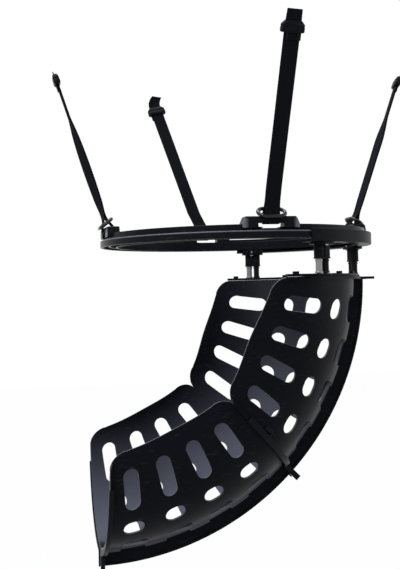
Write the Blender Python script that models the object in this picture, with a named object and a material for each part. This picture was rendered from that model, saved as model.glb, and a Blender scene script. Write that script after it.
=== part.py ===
"""Ball return for a basketball hoop: a ring hung on four straps, with a swivelling curved chute below it."""
import math

import bmesh
import bpy
from mathutils import Matrix, Vector

# Driving dimensions, in metres, with angles in degrees.
RING_RADIUS = 0.230
RING_DROP = 0.275
KEEL_RADIUS = 0.472
MOUTH_SETBACK = 0.048
FLOOR_SETBACK = 0.029
STATION_ANGLE = 66.0
JOINT_ANGLE = 45.6
ARC_ANGLE = 90.6

# Clearances.
FIT_GAP = 0.0003
RUN_GAP = 0.0006
OVERRUN = 0.004

# Ring: an outer rail with a ledge on top, a thin upright wall and a low inner rim.
RAIL_HEIGHT = 0.0115
RING_WIDTH = 0.0295
LEDGE_WIDTH = 0.0075
WALL_THICKNESS = 0.0040
WALL_HEIGHT = 0.0098
WEB_TOP = 0.0020
RIM_THICKNESS = 0.0035
RIM_HEIGHT = 0.0045
RAIL_THICKNESS = 0.0045
GROOVE_DEPTH = 0.0075
RIB_THICKNESS = 0.0030
RIB_SHORTFALL = 0.0020
EDGE_CHAMFER = 0.0010
RING_STEPS = 64

# Lug: a trapezoid block on the wall, with a window under its bridge bar.
LUG_BASE_HALF = 0.0450
LUG_TOP_HALF = 0.0400
LUG_HEIGHT = 0.0212
LUG_OUTSTAND = 0.0030
LUG_CHAMFER_WIDTH = 0.0025
LUG_CHAMFER_HEIGHT = 0.0030
WINDOW_TOP_HALF = 0.0205
WINDOW_STEP_HALF = 0.0200
WINDOW_FLOOR_HALF = 0.0135
WINDOW_FLOOR = 0.0025
WINDOW_STEP = 0.0050
WINDOW_SHOULDER = 0.0112
BAR_FLARE = 0.0037
BAR_WIDTH = 0.0177
BAR_CORNER = 0.0040
BAR_CORNER_STEPS = 3

# Straps: doubled webbing looped round the bar, cinched by an oval ring.
WEBBING_WIDTH = 0.0240
WEBBING_THICKNESS = 0.0015
BUCKLE_OUTSET = 0.090
BUCKLE_RISE = 0.280
TAIL_LENGTH = 0.0240
MERGE_HEIGHT = 0.0480
SHIFT_FOOT = 0.0210
PINCH_SHARE = 0.50
PINCH_SPREAD_SHARE = 0.42
OVAL_RISE = 0.0173
OVAL_SEAT = 0.0006
OVAL_HALF_LENGTH = 0.0240
OVAL_HALF_WIDTH = 0.0148
OVAL_WIRE = 0.0026
OVAL_TILT = 36.6
OVAL_STEPS = 16
WIRE_SIDES = 6

# Each strap's angle round the ring, and shares: its buckle's spread and rise, its side shift at the bar,
# above the oval ring and at the buckle, and its tail's length.
STRAP_ANGLES = {"front": 270, "right": 0, "back": 90, "left": 180}
SPOT_SHARES = {"front": (1.000, 1.003), "right": (0.969, 0.989), "back": (0.994, 0.996), "left": (0.933, 0.957)}
SIDE_SHARES = {"front": (0.005, 0.006, 0.031), "right": (0.0, 0.0, 0.0), "back": (0.024, 0.058, 0.228),
               "left": (0.0, 0.0, 0.0)}
TAIL_SHARES = {"front": 1.0, "right": 0.50, "back": 1.15, "left": 0.50}

# Adjuster buckle: a short collar with sloping shoulders that slides on the webbing.
BUCKLE_WIDTH = 0.0355
BUCKLE_HEIGHT = 0.0165
BUCKLE_SHOULDER = 0.0055
BUCKLE_DEPTH = 0.0110
BUCKLE_CHAMFER = 0.0018

# Carriage: a channel that hooks over the rail and runs round it.
CARRIAGE_HALF_ANGLE = 74.0
CARRIAGE_WALL = 0.0030
CARRIAGE_FLOOR = 0.0032
LIP_THICKNESS = 0.0025
LIP_REACH = 0.0052
CARRIAGE_INNER_REACH = 0.0245
CARRIAGE_STEPS = 24

# Glide pads between the rail and the carriage floor.
GLIDE_HALF_ANGLE = 5.0
GLIDE_THICKNESS = 0.0022
GLIDE_WIDTH = 0.0030
GLIDE_STEPS = 4

# Stations: a foot plate with twin sleeves, and twin studs down to the collar.
STATION_SETBACK = 0.0130
FOOT_LENGTH = 0.0400
FOOT_MARGIN = 0.0005
FOOT_THICKNESS = 0.0036
STUD_SPACING = 0.0140
SLEEVE_DIAMETER = 0.0146
SLEEVE_BOTTOM = 0.0435
STUD_DIAMETER = 0.0103
STUD_ENGAGEMENT = 0.0200
SPIGOT_DIAMETER = 0.0064
SCREW_DIAMETER = 0.0032
SCREW_HEAD_DIAMETER = 0.0062
SCREW_HEAD_HEIGHT = 0.0022
ROUND_STEPS = 12
SCREW_STEPS = 8

# Collar on top of the chute.
COLLAR_THICKNESS = 0.0040
COLLAR_GAP_DROP = 0.0660
COLLAR_SWEEP = 84.0
EAR_LENGTH = 0.0340
EAR_ROOT = 0.0060
TAB_LENGTH = 0.0090
TAB_HEIGHT = 0.0040
TAB_TURN_SHARES = (0.12, 0.44, 0.62, 0.84)
MOUTH_STEPS = 12

# Chute panels. The tables run along the arc from the mouth to the exit.
PANEL_THICKNESS = 0.0032
FLOOR_DEPTH = 0.032
EDGE_RADIUS_SHARES = (0.575, 0.540, 0.576, 0.571, 0.606)
HALF_WIDTH_SHARES = (1.000, 0.885, 0.813, 0.775, 0.747)
CORNER_RADIUS = 0.024
FLANGE_THICKNESS = 0.0030
FLANGE_HEIGHT = 0.0070
FLANGE_RUNOUT = 0.0006
SKIRT_DEPTH = 0.0100
FLANGE_SKIRT_DEPTH = 0.0190
SECTION_STEPS = 8
KEEL_RUNOUT = 0.0060
ROW_COUNT = 8
CORNER_ROW_SHARES = (0.30, 0.62, 1.05)

# Openings in the panels.
SLOT_ROWS = 4
FIRST_ROW_ANGLE = 8.15
ROW_PITCH_ANGLE = 10.2
LONG_SLOT_PLACE = 0.0640
LONG_SLOT_LENGTH = 0.0700
LONG_SLOT_WIDTH = 0.0240
SHORT_SLOT_PLACE = 0.1385
SHORT_SLOT_LENGTH = 0.0280
SHORT_SLOT_WIDTH = 0.0330
SHORT_SLOT_CORNER = 0.0130
WINDOW_START = 0.1780
WINDOW_MARGIN = 0.0140
WINDOW_WIDTH = 0.0440
WINDOW_SHIFT = 0.0045
WINDOW_CORNER = 0.0170
CORNER_STEPS = 4
NOTCH_DEPTH = 0.0030
CUT_DEPTH = 0.0140

# Keel: the curved spine between the panels.
KEEL_THICKNESS = 0.0090
KEEL_STEPS = 12
KEEL_BEAD = 0.0012
KEEL_BEAD_DEPTH = 0.0045

# Lock strips along the flanges.
JOINT_STRIP_WIDTH = 0.0098
JOINT_STRIP_DEPTH = 0.0025
JOINT_STRIP_REACH = 0.0128
TOP_STRIP_WIDTH = 0.0045
TOP_STRIP_DEPTH = 0.0045
TOP_STRIP_REACH = 0.0158
EXIT_STRIP_WIDTH = 0.0070
EXIT_STRIP_DEPTH = 0.0025
EXIT_STRIP_REACH = 0.0060
STRIP_LEG = 0.0035
STRIP_SKIP = 1
LATCH_PLACE = 0.102
LATCH_LENGTH = 0.0180
LATCH_WIDTH = 0.0110
LATCH_HEIGHT = 0.0060
LATCH_TAPER_SHARES = (0.5, 0.7)
LATCH_SINK = 0.0008

# Sizes that follow from the ones above.
FLOOR_RADIUS = KEEL_RADIUS - FLOOR_DEPTH
ARC_CENTRE_OFFSET = FLOOR_RADIUS + FLOOR_SETBACK - RING_RADIUS
MOUTH_HALF_WIDTH = RING_RADIUS - MOUTH_SETBACK
STATION_RADIUS = RING_RADIUS - STATION_SETBACK
BUCKLE_SPREAD = RING_RADIUS + BUCKLE_OUTSET
INNER_RADIUS = RING_RADIUS - RING_WIDTH
WALL_OUTER = RING_RADIUS - LEDGE_WIDTH
WALL_INNER = WALL_OUTER - WALL_THICKNESS
LUG_OUTER = WALL_OUTER + LUG_OUTSTAND
BAR_HEIGHT = LUG_HEIGHT - WINDOW_SHOULDER
BAR_PLACE = WALL_OUTER + BAR_FLARE - BAR_WIDTH / 2
BAR_LEVEL = LUG_HEIGHT - BAR_HEIGHT / 2
LOOP_OFFSET = FIT_GAP + WEBBING_THICKNESS / 2
LAYER_PITCH = WEBBING_THICKNESS + FIT_GAP
CARRIAGE_INNER_WALL = RING_RADIUS + RUN_GAP
CARRIAGE_OUTER = CARRIAGE_INNER_WALL + CARRIAGE_WALL
CARRIAGE_TOP = FIT_GAP + LIP_THICKNESS
CARRIAGE_FLOOR_TOP = -RAIL_HEIGHT - GLIDE_THICKNESS - 2 * FIT_GAP
CARRIAGE_BOTTOM = CARRIAGE_FLOOR_TOP - CARRIAGE_FLOOR
FOOT_TOP = CARRIAGE_BOTTOM - FIT_GAP
FOOT_BOTTOM = FOOT_TOP - FOOT_THICKNESS
COLLAR_TOP = -COLLAR_GAP_DROP
COLLAR_BOTTOM = COLLAR_TOP - COLLAR_THICKNESS
ARC_LEVEL = COLLAR_BOTTOM - FIT_GAP
STUD_BOTTOM = COLLAR_TOP + FIT_GAP
SCREW_OFFSET = (SLEEVE_DIAMETER + SCREW_HEAD_DIAMETER) / 2 + FIT_GAP
FOOT_WIDTH = 2 * (SCREW_OFFSET + SCREW_HEAD_DIAMETER / 2 + FOOT_MARGIN)
SCREW_HOLE_RADIUS = SCREW_DIAMETER / 2 + FIT_GAP
CARRIAGE_SCREW_LENGTH = CARRIAGE_FLOOR_TOP - FOOT_BOTTOM
SKIRT_FACE = KEEL_THICKNESS / 2 + FIT_GAP

SIDES = {"front": -1, "back": 1}
STATIONS = {"front": -STATION_ANGLE, "middle": 0.0, "back": STATION_ANGLE}
PALE_STUDS = (("front", "right"), ("back", "left"))


def clear_scene():
    """Remove every object of the scene."""
    for item in list(bpy.data.objects):
        bpy.data.objects.remove(item, do_unlink=True)


def material(name, colour, roughness, metallic=0.0):
    """Make one Principled material."""
    made = bpy.data.materials.new(name)
    made.use_nodes = True
    shader = made.node_tree.nodes["Principled BSDF"]
    shader.inputs["Base Color"].default_value = (*colour, 1.0)
    shader.inputs["Roughness"].default_value = roughness
    shader.inputs["Metallic"].default_value = metallic
    return made


def empty(name, place, turn=None, parent=None):
    """Make an empty that carries other pieces."""
    made = bpy.data.objects.new(name, None)
    made.location = place
    if turn is not None:
        made.rotation_euler = turn
    made.parent = parent
    bpy.context.scene.collection.objects.link(made)
    return made


def add_object(name, bm, parent, finish=None, smooth_angle=32):
    """Turn a bmesh into an object with outward faces and its own material."""
    bmesh.ops.recalc_face_normals(bm, faces=bm.faces)
    mesh = bpy.data.meshes.new(name)
    bm.to_mesh(mesh)
    bm.free()
    mesh.shade_smooth()
    mesh.set_sharp_from_angle(angle=math.radians(smooth_angle))
    made = bpy.data.objects.new(name, mesh)
    made.parent = parent
    bpy.context.scene.collection.objects.link(made)
    if finish is not None:
        mesh.materials.append(material(name, *finish))
    return made


def add_cutter(name, bm, parent):
    """Make a guide object that only shapes another one."""
    made = add_object(name, bm, parent)
    made.hide_render = True
    made.display_type = "WIRE"
    return made


def combine(target, tool, operation):
    """Add a Boolean modifier with an exact solver."""
    step = target.modifiers.new(tool.name, "BOOLEAN")
    step.operation = operation
    step.solver = "EXACT"
    step.object = tool


def extrude_through(sections, bm=None):
    """Extrude a face from section to section; each section is a list of points in the same order."""
    bm = bm or bmesh.new()
    ring = [bm.verts.new(point) for point in sections[0]]
    cap = bm.faces.new(ring)
    for points in sections[1:]:
        grown = bmesh.ops.extrude_face_region(bm, geom=[cap, *cap.edges])["geom"]
        fresh = {tuple(item.co): item for item in grown if isinstance(item, bmesh.types.BMVert)}
        ring = [fresh[tuple(vert.co)] for vert in ring]
        cap = next(item for item in grown if isinstance(item, bmesh.types.BMFace))
        for vert, point in zip(ring, points):
            vert.co = point
    return bm


def prism(outline, low, high, frame=None, bm=None):
    """Extrude a flat outline from low to high along the frame's third axis."""
    frame = frame or Matrix.Identity(4)
    sections = [[frame @ Vector((x, y, level)) for x, y in outline] for level in (low, high)]
    return extrude_through(sections, bm)


def rounded_outline(length, width, corner, steps=CORNER_STEPS):
    """Give the outline of a rectangle with round corners, centred on zero."""
    half_length = length / 2 - corner
    half_width = width / 2 - corner
    points = []
    for index, (sx, sy) in enumerate(((1, 1), (-1, 1), (-1, -1), (1, -1))):
        for step in range(steps + 1):
            angle = math.radians(90 * (index + step / steps))
            points.append((sx * half_length + corner * math.cos(angle), sy * half_width + corner * math.sin(angle)))
    kept = [points[0]]
    for point in points[1:]:
        if math.dist(point, kept[-1]) > corner / 100:
            kept.append(point)
    if math.dist(kept[0], kept[-1]) < corner / 100:
        kept.pop()
    return kept


def rectangle(x0, x1, y0, y1):
    """Give a rectangle's four corners."""
    return [(x0, y0), (x1, y0), (x1, y1), (x0, y1)]


def cylinder(radius, low, high, centre=(0, 0), steps=ROUND_STEPS, bm=None):
    """Make an upright cylinder."""
    outline = []
    for step in range(steps):
        angle = 2 * math.pi * step / steps
        outline.append((centre[0] + radius * math.cos(angle), centre[1] + radius * math.sin(angle)))
    return prism(outline, low, high, bm=bm)


def turned(profile, steps):
    """Turn a profile of radius and height, which starts and ends on the axis, into a solid."""
    bm = bmesh.new()
    verts = [bm.verts.new((radius, 0, height)) for radius, height in profile]
    edges = [bm.edges.new(pair) for pair in zip(verts, verts[1:])]
    bmesh.ops.spin(bm, geom=verts + edges, axis=(0, 0, 1), cent=(0, 0, 0), dvec=(0, 0, 0),
                   angle=2 * math.pi, steps=steps, use_merge=True)
    bmesh.ops.remove_doubles(bm, verts=bm.verts, dist=FIT_GAP / 10)
    return bm


def polar(radius, angle, height):
    """Give a point by its radius, angle in degrees and height."""
    turn = math.radians(angle)
    return Vector((radius * math.cos(turn), radius * math.sin(turn), height))


def turned_arc(profile, start, end, steps):
    """Sweep a profile of radius and height round the ring's axis between two angles."""
    sections = []
    for step in range(steps + 1):
        angle = start + (end - start) * step / steps
        sections.append([polar(radius, angle, height) for radius, height in profile])
    return extrude_through(sections)


def lug_frame(angle):
    """Give the frame of a lug: X outwards, Y along the ring, Z up, at the ring's axis."""
    return Matrix.Rotation(math.radians(angle), 4, "Z")


def ring_profile():
    """Give the ring's section as radius and height, from the rail's top edge round the outside."""
    rail_inner = RING_RADIUS - RAIL_THICKNESS
    groove_top = GROOVE_DEPTH - RAIL_HEIGHT
    rib_centre = (rail_inner + INNER_RADIUS + RIM_THICKNESS) / 2
    rib_foot = RIB_SHORTFALL - RAIL_HEIGHT
    return [
        (RING_RADIUS - EDGE_CHAMFER, 0),
        (RING_RADIUS, -EDGE_CHAMFER),
        (RING_RADIUS, -RAIL_HEIGHT),
        (rail_inner, -RAIL_HEIGHT),
        (rail_inner, groove_top),
        (rib_centre + RIB_THICKNESS / 2, groove_top),
        (rib_centre + RIB_THICKNESS / 2, rib_foot),
        (rib_centre - RIB_THICKNESS / 2, rib_foot),
        (rib_centre - RIB_THICKNESS / 2, groove_top),
        (INNER_RADIUS + RIM_THICKNESS, groove_top),
        (INNER_RADIUS + RIM_THICKNESS, -RAIL_HEIGHT),
        (INNER_RADIUS, -RAIL_HEIGHT),
        (INNER_RADIUS, RIM_HEIGHT),
        (INNER_RADIUS + RIM_THICKNESS, RIM_HEIGHT),
        (INNER_RADIUS + RIM_THICKNESS, WEB_TOP),
        (WALL_INNER, WEB_TOP),
        (WALL_INNER, WALL_HEIGHT),
        (WALL_OUTER, WALL_HEIGHT),
        (WALL_OUTER, 0),
    ]


def lug_outline(drop):
    """Give a lug's outline along the ring and up, with its top lowered by a drop."""
    low = WEB_TOP + RIM_THICKNESS / 2
    slope = (LUG_BASE_HALF - LUG_TOP_HALF) / (LUG_HEIGHT - WALL_HEIGHT)
    top_half = LUG_TOP_HALF + slope * drop
    return [(-LUG_BASE_HALF, low), (LUG_BASE_HALF, low), (LUG_BASE_HALF, WALL_HEIGHT), (top_half, LUG_HEIGHT - drop),
            (-top_half, LUG_HEIGHT - drop), (-LUG_BASE_HALF, WALL_HEIGHT)]


def make_ring(parent):
    """Turn the ring, stand four lugs on it and cut their windows."""
    bm = bmesh.new()
    verts = [bm.verts.new((radius, 0, height)) for radius, height in ring_profile()]
    edges = [bm.edges.new((verts[index - 1], verts[index])) for index in range(len(verts))]
    bmesh.ops.spin(bm, geom=verts + edges, axis=(0, 0, 1), cent=(0, 0, 0), dvec=(0, 0, 0),
                   angle=2 * math.pi, steps=RING_STEPS, use_merge=True)
    ring = add_object("ring", bm, parent, ((0.012, 0.012, 0.015), 0.34))

    blocks = bmesh.new()
    windows = bmesh.new()
    bars = bmesh.new()
    for angle in STRAP_ANGLES.values():
        frame = lug_frame(angle)
        sections = []
        for depth, drop in ((INNER_RADIUS + RIM_THICKNESS, 0), (LUG_OUTER - LUG_CHAMFER_WIDTH, 0),
                            (LUG_OUTER, LUG_CHAMFER_HEIGHT)):
            sections.append([frame @ Vector((depth, along, height)) for along, height in lug_outline(drop)])
        extrude_through(sections, blocks)
        window = [(-WINDOW_FLOOR_HALF, WINDOW_FLOOR), (WINDOW_FLOOR_HALF, WINDOW_FLOOR),
                  (WINDOW_FLOOR_HALF, WINDOW_STEP), (WINDOW_STEP_HALF, WINDOW_STEP),
                  (WINDOW_TOP_HALF, WINDOW_SHOULDER), (WINDOW_TOP_HALF, LUG_HEIGHT + OVERRUN),
                  (-WINDOW_TOP_HALF, LUG_HEIGHT + OVERRUN), (-WINDOW_TOP_HALF, WINDOW_SHOULDER),
                  (-WINDOW_STEP_HALF, WINDOW_STEP), (-WINDOW_FLOOR_HALF, WINDOW_STEP)]
        sections = [[frame @ Vector((depth, along, height)) for along, height in window]
                    for depth in (INNER_RADIUS - OVERRUN, RING_RADIUS + OVERRUN)]
        extrude_through(sections, windows)
        bar_reach = WINDOW_TOP_HALF + OVERRUN
        outline = rounded_outline(BAR_WIDTH, BAR_HEIGHT, BAR_CORNER, BAR_CORNER_STEPS)
        sections = [[frame @ Vector((BAR_PLACE + across, along, BAR_LEVEL + height)) for across, height in outline]
                    for along in (-bar_reach, bar_reach)]
        extrude_through(sections, bars)
    combine(ring, add_cutter("lug_blocks", blocks, parent), "UNION")
    combine(ring, add_cutter("lug_windows", windows, parent), "DIFFERENCE")
    combine(ring, add_cutter("lug_bars", bars, parent), "UNION")


def strap_run(name):
    """Give a strap's outward lean and its length from the bar to the buckle's middle."""
    spread, rise = SPOT_SHARES[name]
    outward = spread * BUCKLE_SPREAD - BAR_PLACE
    upward = rise * BUCKLE_RISE - BAR_LEVEL
    return math.atan2(outward, upward), math.hypot(outward, upward)


def side_shift(name, height, length):
    """Give how far a strap has moved sideways at a height over its bar."""
    low, middle, high = (share * BUCKLE_SPREAD for share in SIDE_SHARES[name])
    lean, _ = strap_run(name)
    top = length * math.cos(lean)
    if height < MERGE_HEIGHT:
        return low + (middle - low) * max(height - SHIFT_FOOT, 0) / (MERGE_HEIGHT - SHIFT_FOOT)
    return middle + (high - middle) * (height - MERGE_HEIGHT) / (top - MERGE_HEIGHT)


def strap_path(lean, length, tail):
    """Give the webbing's middle line as outward and upward places from the bar: up, round the bar and up again."""
    along = Vector((math.sin(lean), math.cos(lean)))
    outer = Vector((math.cos(lean), -math.sin(lean))) * (LAYER_PITCH / 2)
    merge = along * MERGE_HEIGHT / math.cos(lean)
    wide = BAR_WIDTH / 2 + LOOP_OFFSET
    corner = BAR_CORNER + LOOP_OFFSET
    outline = rounded_outline(2 * wide, BAR_HEIGHT + 2 * LOOP_OFFSET, corner, BAR_CORNER_STEPS)
    under = [Vector((-across, height)) for across, height in outline[len(outline) // 2:]]
    pinch = merge * PINCH_SHARE
    path = [along * (length + tail) + outer, merge + outer, pinch + Vector((wide * PINCH_SPREAD_SHARE, 0))]
    path += [Vector((wide, BAR_HEIGHT / 2)), *under, Vector((-wide, BAR_HEIGHT / 2))]
    path += [pinch - Vector((wide * PINCH_SPREAD_SHARE, 0)), merge - outer]
    path.append(along * (length + BUCKLE_HEIGHT / 2) - outer)
    return path


def band_sections(name, path, length):
    """Give the sections of a flat band along a path, shifted sideways above the bar."""
    sections = []
    for index, point in enumerate(path):
        heading = (path[min(index + 1, len(path) - 1)] - path[max(index - 1, 0)]).normalized()
        normal = Vector((-heading.y, heading.x)) * (WEBBING_THICKNESS / 2)
        shift = side_shift(name, point.y, length)
        corners = []
        for spot, edge in ((point + normal, -1), (point + normal, 1), (point - normal, 1), (point - normal, -1)):
            corners.append(Vector((spot.x, shift + edge * WEBBING_WIDTH / 2, spot.y)))
        sections.append(corners)
    return sections


def make_oval_ring(name, length, hinge):
    """Make the oval ring that cinches the two layers of webbing above the bar, resting outside on the loop."""
    oval = bmesh.new()
    tilt = math.radians(OVAL_TILT)
    low_side = Vector((math.cos(tilt), 0, -math.sin(tilt)))
    face = Vector((math.sin(tilt), 0, math.cos(tilt)))
    reach = OVAL_HALF_WIDTH - OVAL_WIRE
    outer_wire = BAR_WIDTH / 2 + LOOP_OFFSET + WEBBING_THICKNESS / 2 + OVAL_SEAT + OVAL_WIRE
    height = reach * math.sin(tilt) + OVAL_RISE - BAR_HEIGHT - OVAL_WIRE
    centre = Vector((outer_wire - reach * math.cos(tilt), side_shift(name, height, length), height))
    straight = OVAL_HALF_LENGTH - OVAL_HALF_WIDTH
    loops = []
    for step in range(OVAL_STEPS):
        turn = 2 * math.pi * (step + 0.5) / OVAL_STEPS
        out = Vector((0, math.cos(turn), 0)) + low_side * math.sin(turn)
        middle = centre + Vector((0, math.copysign(straight, math.cos(turn)), 0)) + out * reach
        loop = []
        for side in range(WIRE_SIDES):
            roll = 2 * math.pi * side / WIRE_SIDES
            loop.append(oval.verts.new(middle + OVAL_WIRE * (out * math.cos(roll) + face * math.sin(roll))))
        loops.append([oval.edges.new((loop[index - 1], loop[index])) for index in range(WIRE_SIDES)])
    for index in range(OVAL_STEPS):
        bmesh.ops.bridge_loops(oval, edges=loops[index - 1] + loops[index])
    add_object(name + "_oval_ring", oval, hinge, ((0.03, 0.03, 0.035), 0.18, 0.9), smooth_angle=60)


def make_buckle(name, slide):
    """Make the buckle with its slot for the webbing, centred on its slide."""
    low = -BUCKLE_HEIGHT / 2
    high = BUCKLE_HEIGHT / 2
    half = BUCKLE_WIDTH / 2
    shape = [(-half, low), (half, low), (half, high - BUCKLE_SHOULDER), (half - BUCKLE_SHOULDER, high),
             (BUCKLE_SHOULDER - half, high), (-half, high - BUCKLE_SHOULDER)]
    sections = [[Vector((depth, along, height)) for along, height in shape]
                for depth in (-BUCKLE_DEPTH / 2, BUCKLE_DEPTH / 2)]
    body = extrude_through(sections)
    bmesh.ops.bevel(body, geom=body.edges[:], offset=BUCKLE_CHAMFER, segments=1, profile=0.5,
                    affect="EDGES", material=-1)
    buckle = add_object(name + "_buckle", body, slide, ((0.014, 0.014, 0.017), 0.45))
    half_gap = LAYER_PITCH / 2 + WEBBING_THICKNESS / 2 + FIT_GAP
    half_wide = WEBBING_WIDTH / 2 + FIT_GAP
    slot = prism(rectangle(-half_gap, half_gap, -half_wide, half_wide), low - OVERRUN, high + OVERRUN)
    combine(buckle, add_cutter(name + "_buckle_slot", slot, slide), "DIFFERENCE")


def make_strap(name, angle, parent):
    """Make one strap with its loop, oval ring and buckle, standing on a lug's bar."""
    lean, length = strap_run(name)
    hinge = empty(name + "_strap_hinge", polar(BAR_PLACE, angle, BAR_LEVEL), (0, 0, math.radians(angle)), parent)
    path = strap_path(lean, length, TAIL_LENGTH * TAIL_SHARES[name])
    add_object(name + "_strap", extrude_through(band_sections(name, path, length)), hinge,
               ((0.016, 0.017, 0.021), 0.85))
    make_oval_ring(name, length, hinge)
    top = length * math.cos(lean)
    high = side_shift(name, top, length)
    slope = (high - side_shift(name, top / 2, length)) / (length / 2)
    along = Vector((math.sin(lean), slope, math.cos(lean))).normalized()
    normal = Vector((math.cos(lean), 0, -math.sin(lean)))
    turn = Matrix((normal, along.cross(normal), along)).transposed()
    place = Vector((math.sin(lean) * length, high, math.cos(lean) * length))
    make_buckle(name, empty(name + "_buckle_slide", place, turn.to_euler(), hinge))


def make_carriage(parent):
    """Make the channel that hooks the rail, its glide pads, foot plates, studs and screws."""
    inner = RING_RADIUS - CARRIAGE_INNER_REACH
    profile = [
        (CARRIAGE_OUTER - EDGE_CHAMFER, CARRIAGE_TOP),
        (CARRIAGE_INNER_WALL - LIP_REACH, CARRIAGE_TOP),
        (CARRIAGE_INNER_WALL - LIP_REACH, FIT_GAP),
        (CARRIAGE_INNER_WALL, FIT_GAP),
        (CARRIAGE_INNER_WALL, CARRIAGE_FLOOR_TOP),
        (inner, CARRIAGE_FLOOR_TOP),
        (inner, CARRIAGE_BOTTOM),
        (CARRIAGE_OUTER - EDGE_CHAMFER, CARRIAGE_BOTTOM),
        (CARRIAGE_OUTER, CARRIAGE_BOTTOM + EDGE_CHAMFER),
        (CARRIAGE_OUTER, CARRIAGE_TOP - EDGE_CHAMFER),
    ]
    channel = turned_arc(profile, -CARRIAGE_HALF_ANGLE, CARRIAGE_HALF_ANGLE, CARRIAGE_STEPS)
    carriage = add_object("carriage_channel", channel, parent, ((0.018, 0.018, 0.021), 0.40))

    holes = bmesh.new()
    screw = screw_mesh("carriage_screw", CARRIAGE_SCREW_LENGTH)
    for name, angle in STATIONS.items():
        station = empty(name + "_station", polar(STATION_RADIUS, angle, 0), (0, 0, math.radians(angle)), parent)
        make_glide_pad(name, angle, parent)
        make_sleeve_block(name, station)
        make_studs(name, station)
        for index, across in enumerate((-SCREW_OFFSET, SCREW_OFFSET)):
            place = polar(STATION_RADIUS + across, angle, 0)
            cylinder(SCREW_HOLE_RADIUS, CARRIAGE_BOTTOM - OVERRUN, CARRIAGE_FLOOR_TOP + OVERRUN,
                     (place.x, place.y), SCREW_STEPS, holes)
            place_screw(name + "_carriage_screw_" + ("inner", "outer")[index], screw, (across, 0, FOOT_BOTTOM), station)
    combine(carriage, add_cutter("carriage_holes", holes, parent), "DIFFERENCE")


def make_glide_pad(name, angle, parent):
    """Make the low-friction pad between the rail's foot and the carriage's floor."""
    low = CARRIAGE_FLOOR_TOP + FIT_GAP
    high = low + GLIDE_THICKNESS
    near = RING_RADIUS - EDGE_CHAMFER - GLIDE_WIDTH
    far = RING_RADIUS - EDGE_CHAMFER
    pad = turned_arc([(near, low), (far, low), (far, high), (near, high)],
                     angle - GLIDE_HALF_ANGLE, angle + GLIDE_HALF_ANGLE, GLIDE_STEPS)
    add_object(name + "_glide_pad", pad, parent, ((0.62, 0.62, 0.60), 0.45))


def make_sleeve_block(name, station):
    """Make a foot plate with two bored sleeves under it."""
    corner = FOOT_WIDTH / 2 - OVERRUN / 2
    foot = prism(rounded_outline(FOOT_WIDTH, FOOT_LENGTH, corner), FOOT_BOTTOM, FOOT_TOP)
    body = add_object(name + "_sleeve_block", foot, station, ((0.014, 0.014, 0.018), 0.38))
    sleeves = prism(rounded_outline(SLEEVE_DIAMETER, SLEEVE_DIAMETER + STUD_SPACING, SLEEVE_DIAMETER / 2 - FIT_GAP),
                    -SLEEVE_BOTTOM, (FOOT_BOTTOM + FOOT_TOP) / 2)
    combine(body, add_cutter(name + "_sleeve_body", sleeves, station), "UNION")
    bores = bmesh.new()
    for along in (-STUD_SPACING / 2, STUD_SPACING / 2):
        cylinder(STUD_DIAMETER / 2 + FIT_GAP, -SLEEVE_BOTTOM - OVERRUN, STUD_ENGAGEMENT - SLEEVE_BOTTOM,
                 (0, along), ROUND_STEPS, bores)
    for across in (-SCREW_OFFSET, SCREW_OFFSET):
        cylinder(SCREW_HOLE_RADIUS, FOOT_BOTTOM - OVERRUN, FOOT_TOP + OVERRUN, (across, 0), SCREW_STEPS, bores)
    combine(body, add_cutter(name + "_sleeve_bores", bores, station), "DIFFERENCE")


def screw_mesh(name, length):
    """Turn a pan-head screw that points up, with its seat at zero."""
    radius = SCREW_DIAMETER / 2
    head = SCREW_HEAD_DIAMETER / 2
    bm = turned([(0, length), (radius, length), (radius, -FIT_GAP), (head, -FIT_GAP),
                 (head, -SCREW_HEAD_HEIGHT / 2), (radius, -SCREW_HEAD_HEIGHT), (0, -SCREW_HEAD_HEIGHT)], SCREW_STEPS)
    bmesh.ops.recalc_face_normals(bm, faces=bm.faces)
    mesh = bpy.data.meshes.new(name)
    bm.to_mesh(mesh)
    bm.free()
    mesh.shade_smooth()
    mesh.set_sharp_from_angle(angle=math.radians(32))
    mesh.materials.append(material(name, (0.30, 0.30, 0.32), 0.35, 0.9))
    return mesh


def place_screw(name, mesh, place, parent):
    """Put one screw in its hole."""
    made = bpy.data.objects.new(name, mesh)
    made.location = place
    made.parent = parent
    bpy.context.scene.collection.objects.link(made)


def make_studs(name, station):
    """Make the twin studs that drop from a station's sleeves and end as spigots in the collar."""
    top = STUD_ENGAGEMENT - SLEEVE_BOTTOM - FIT_GAP
    for end, along in (("left", STUD_SPACING / 2), ("right", -STUD_SPACING / 2)):
        pale = (name, end) in PALE_STUDS
        finish = ((0.42, 0.42, 0.44), 0.30, 0.8) if pale else ((0.02, 0.02, 0.026), 0.30)
        profile = [(0, top), (STUD_DIAMETER / 2, top), (STUD_DIAMETER / 2, STUD_BOTTOM),
                   (SPIGOT_DIAMETER / 2, STUD_BOTTOM), (SPIGOT_DIAMETER / 2, COLLAR_BOTTOM), (0, COLLAR_BOTTOM)]
        stud = turned(profile, ROUND_STEPS)
        bmesh.ops.translate(stud, vec=(0, along, 0), verts=stud.verts)
        add_object(name + "_stud_" + end, stud, station, finish)


def table_value(shares, place):
    """Read a table smoothly at a place between 0 and 1."""
    last = len(shares) - 1
    position = min(max(place, 0.0), 1.0) * last
    index = min(int(position), last - 1)
    part = position - index
    here = shares[index]
    after = shares[index + 1]
    slope_here = (after - shares[index - 1]) / 2 if index > 0 else after - here
    slope_after = (shares[index + 2] - here) / 2 if index + 2 <= last else after - here
    square = part * part
    cube = square * part
    return ((2 * cube - 3 * square + 1) * here + (cube - 2 * square + part) * slope_here
            + (3 * square - 2 * cube) * after + (cube - square) * slope_after)


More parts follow.
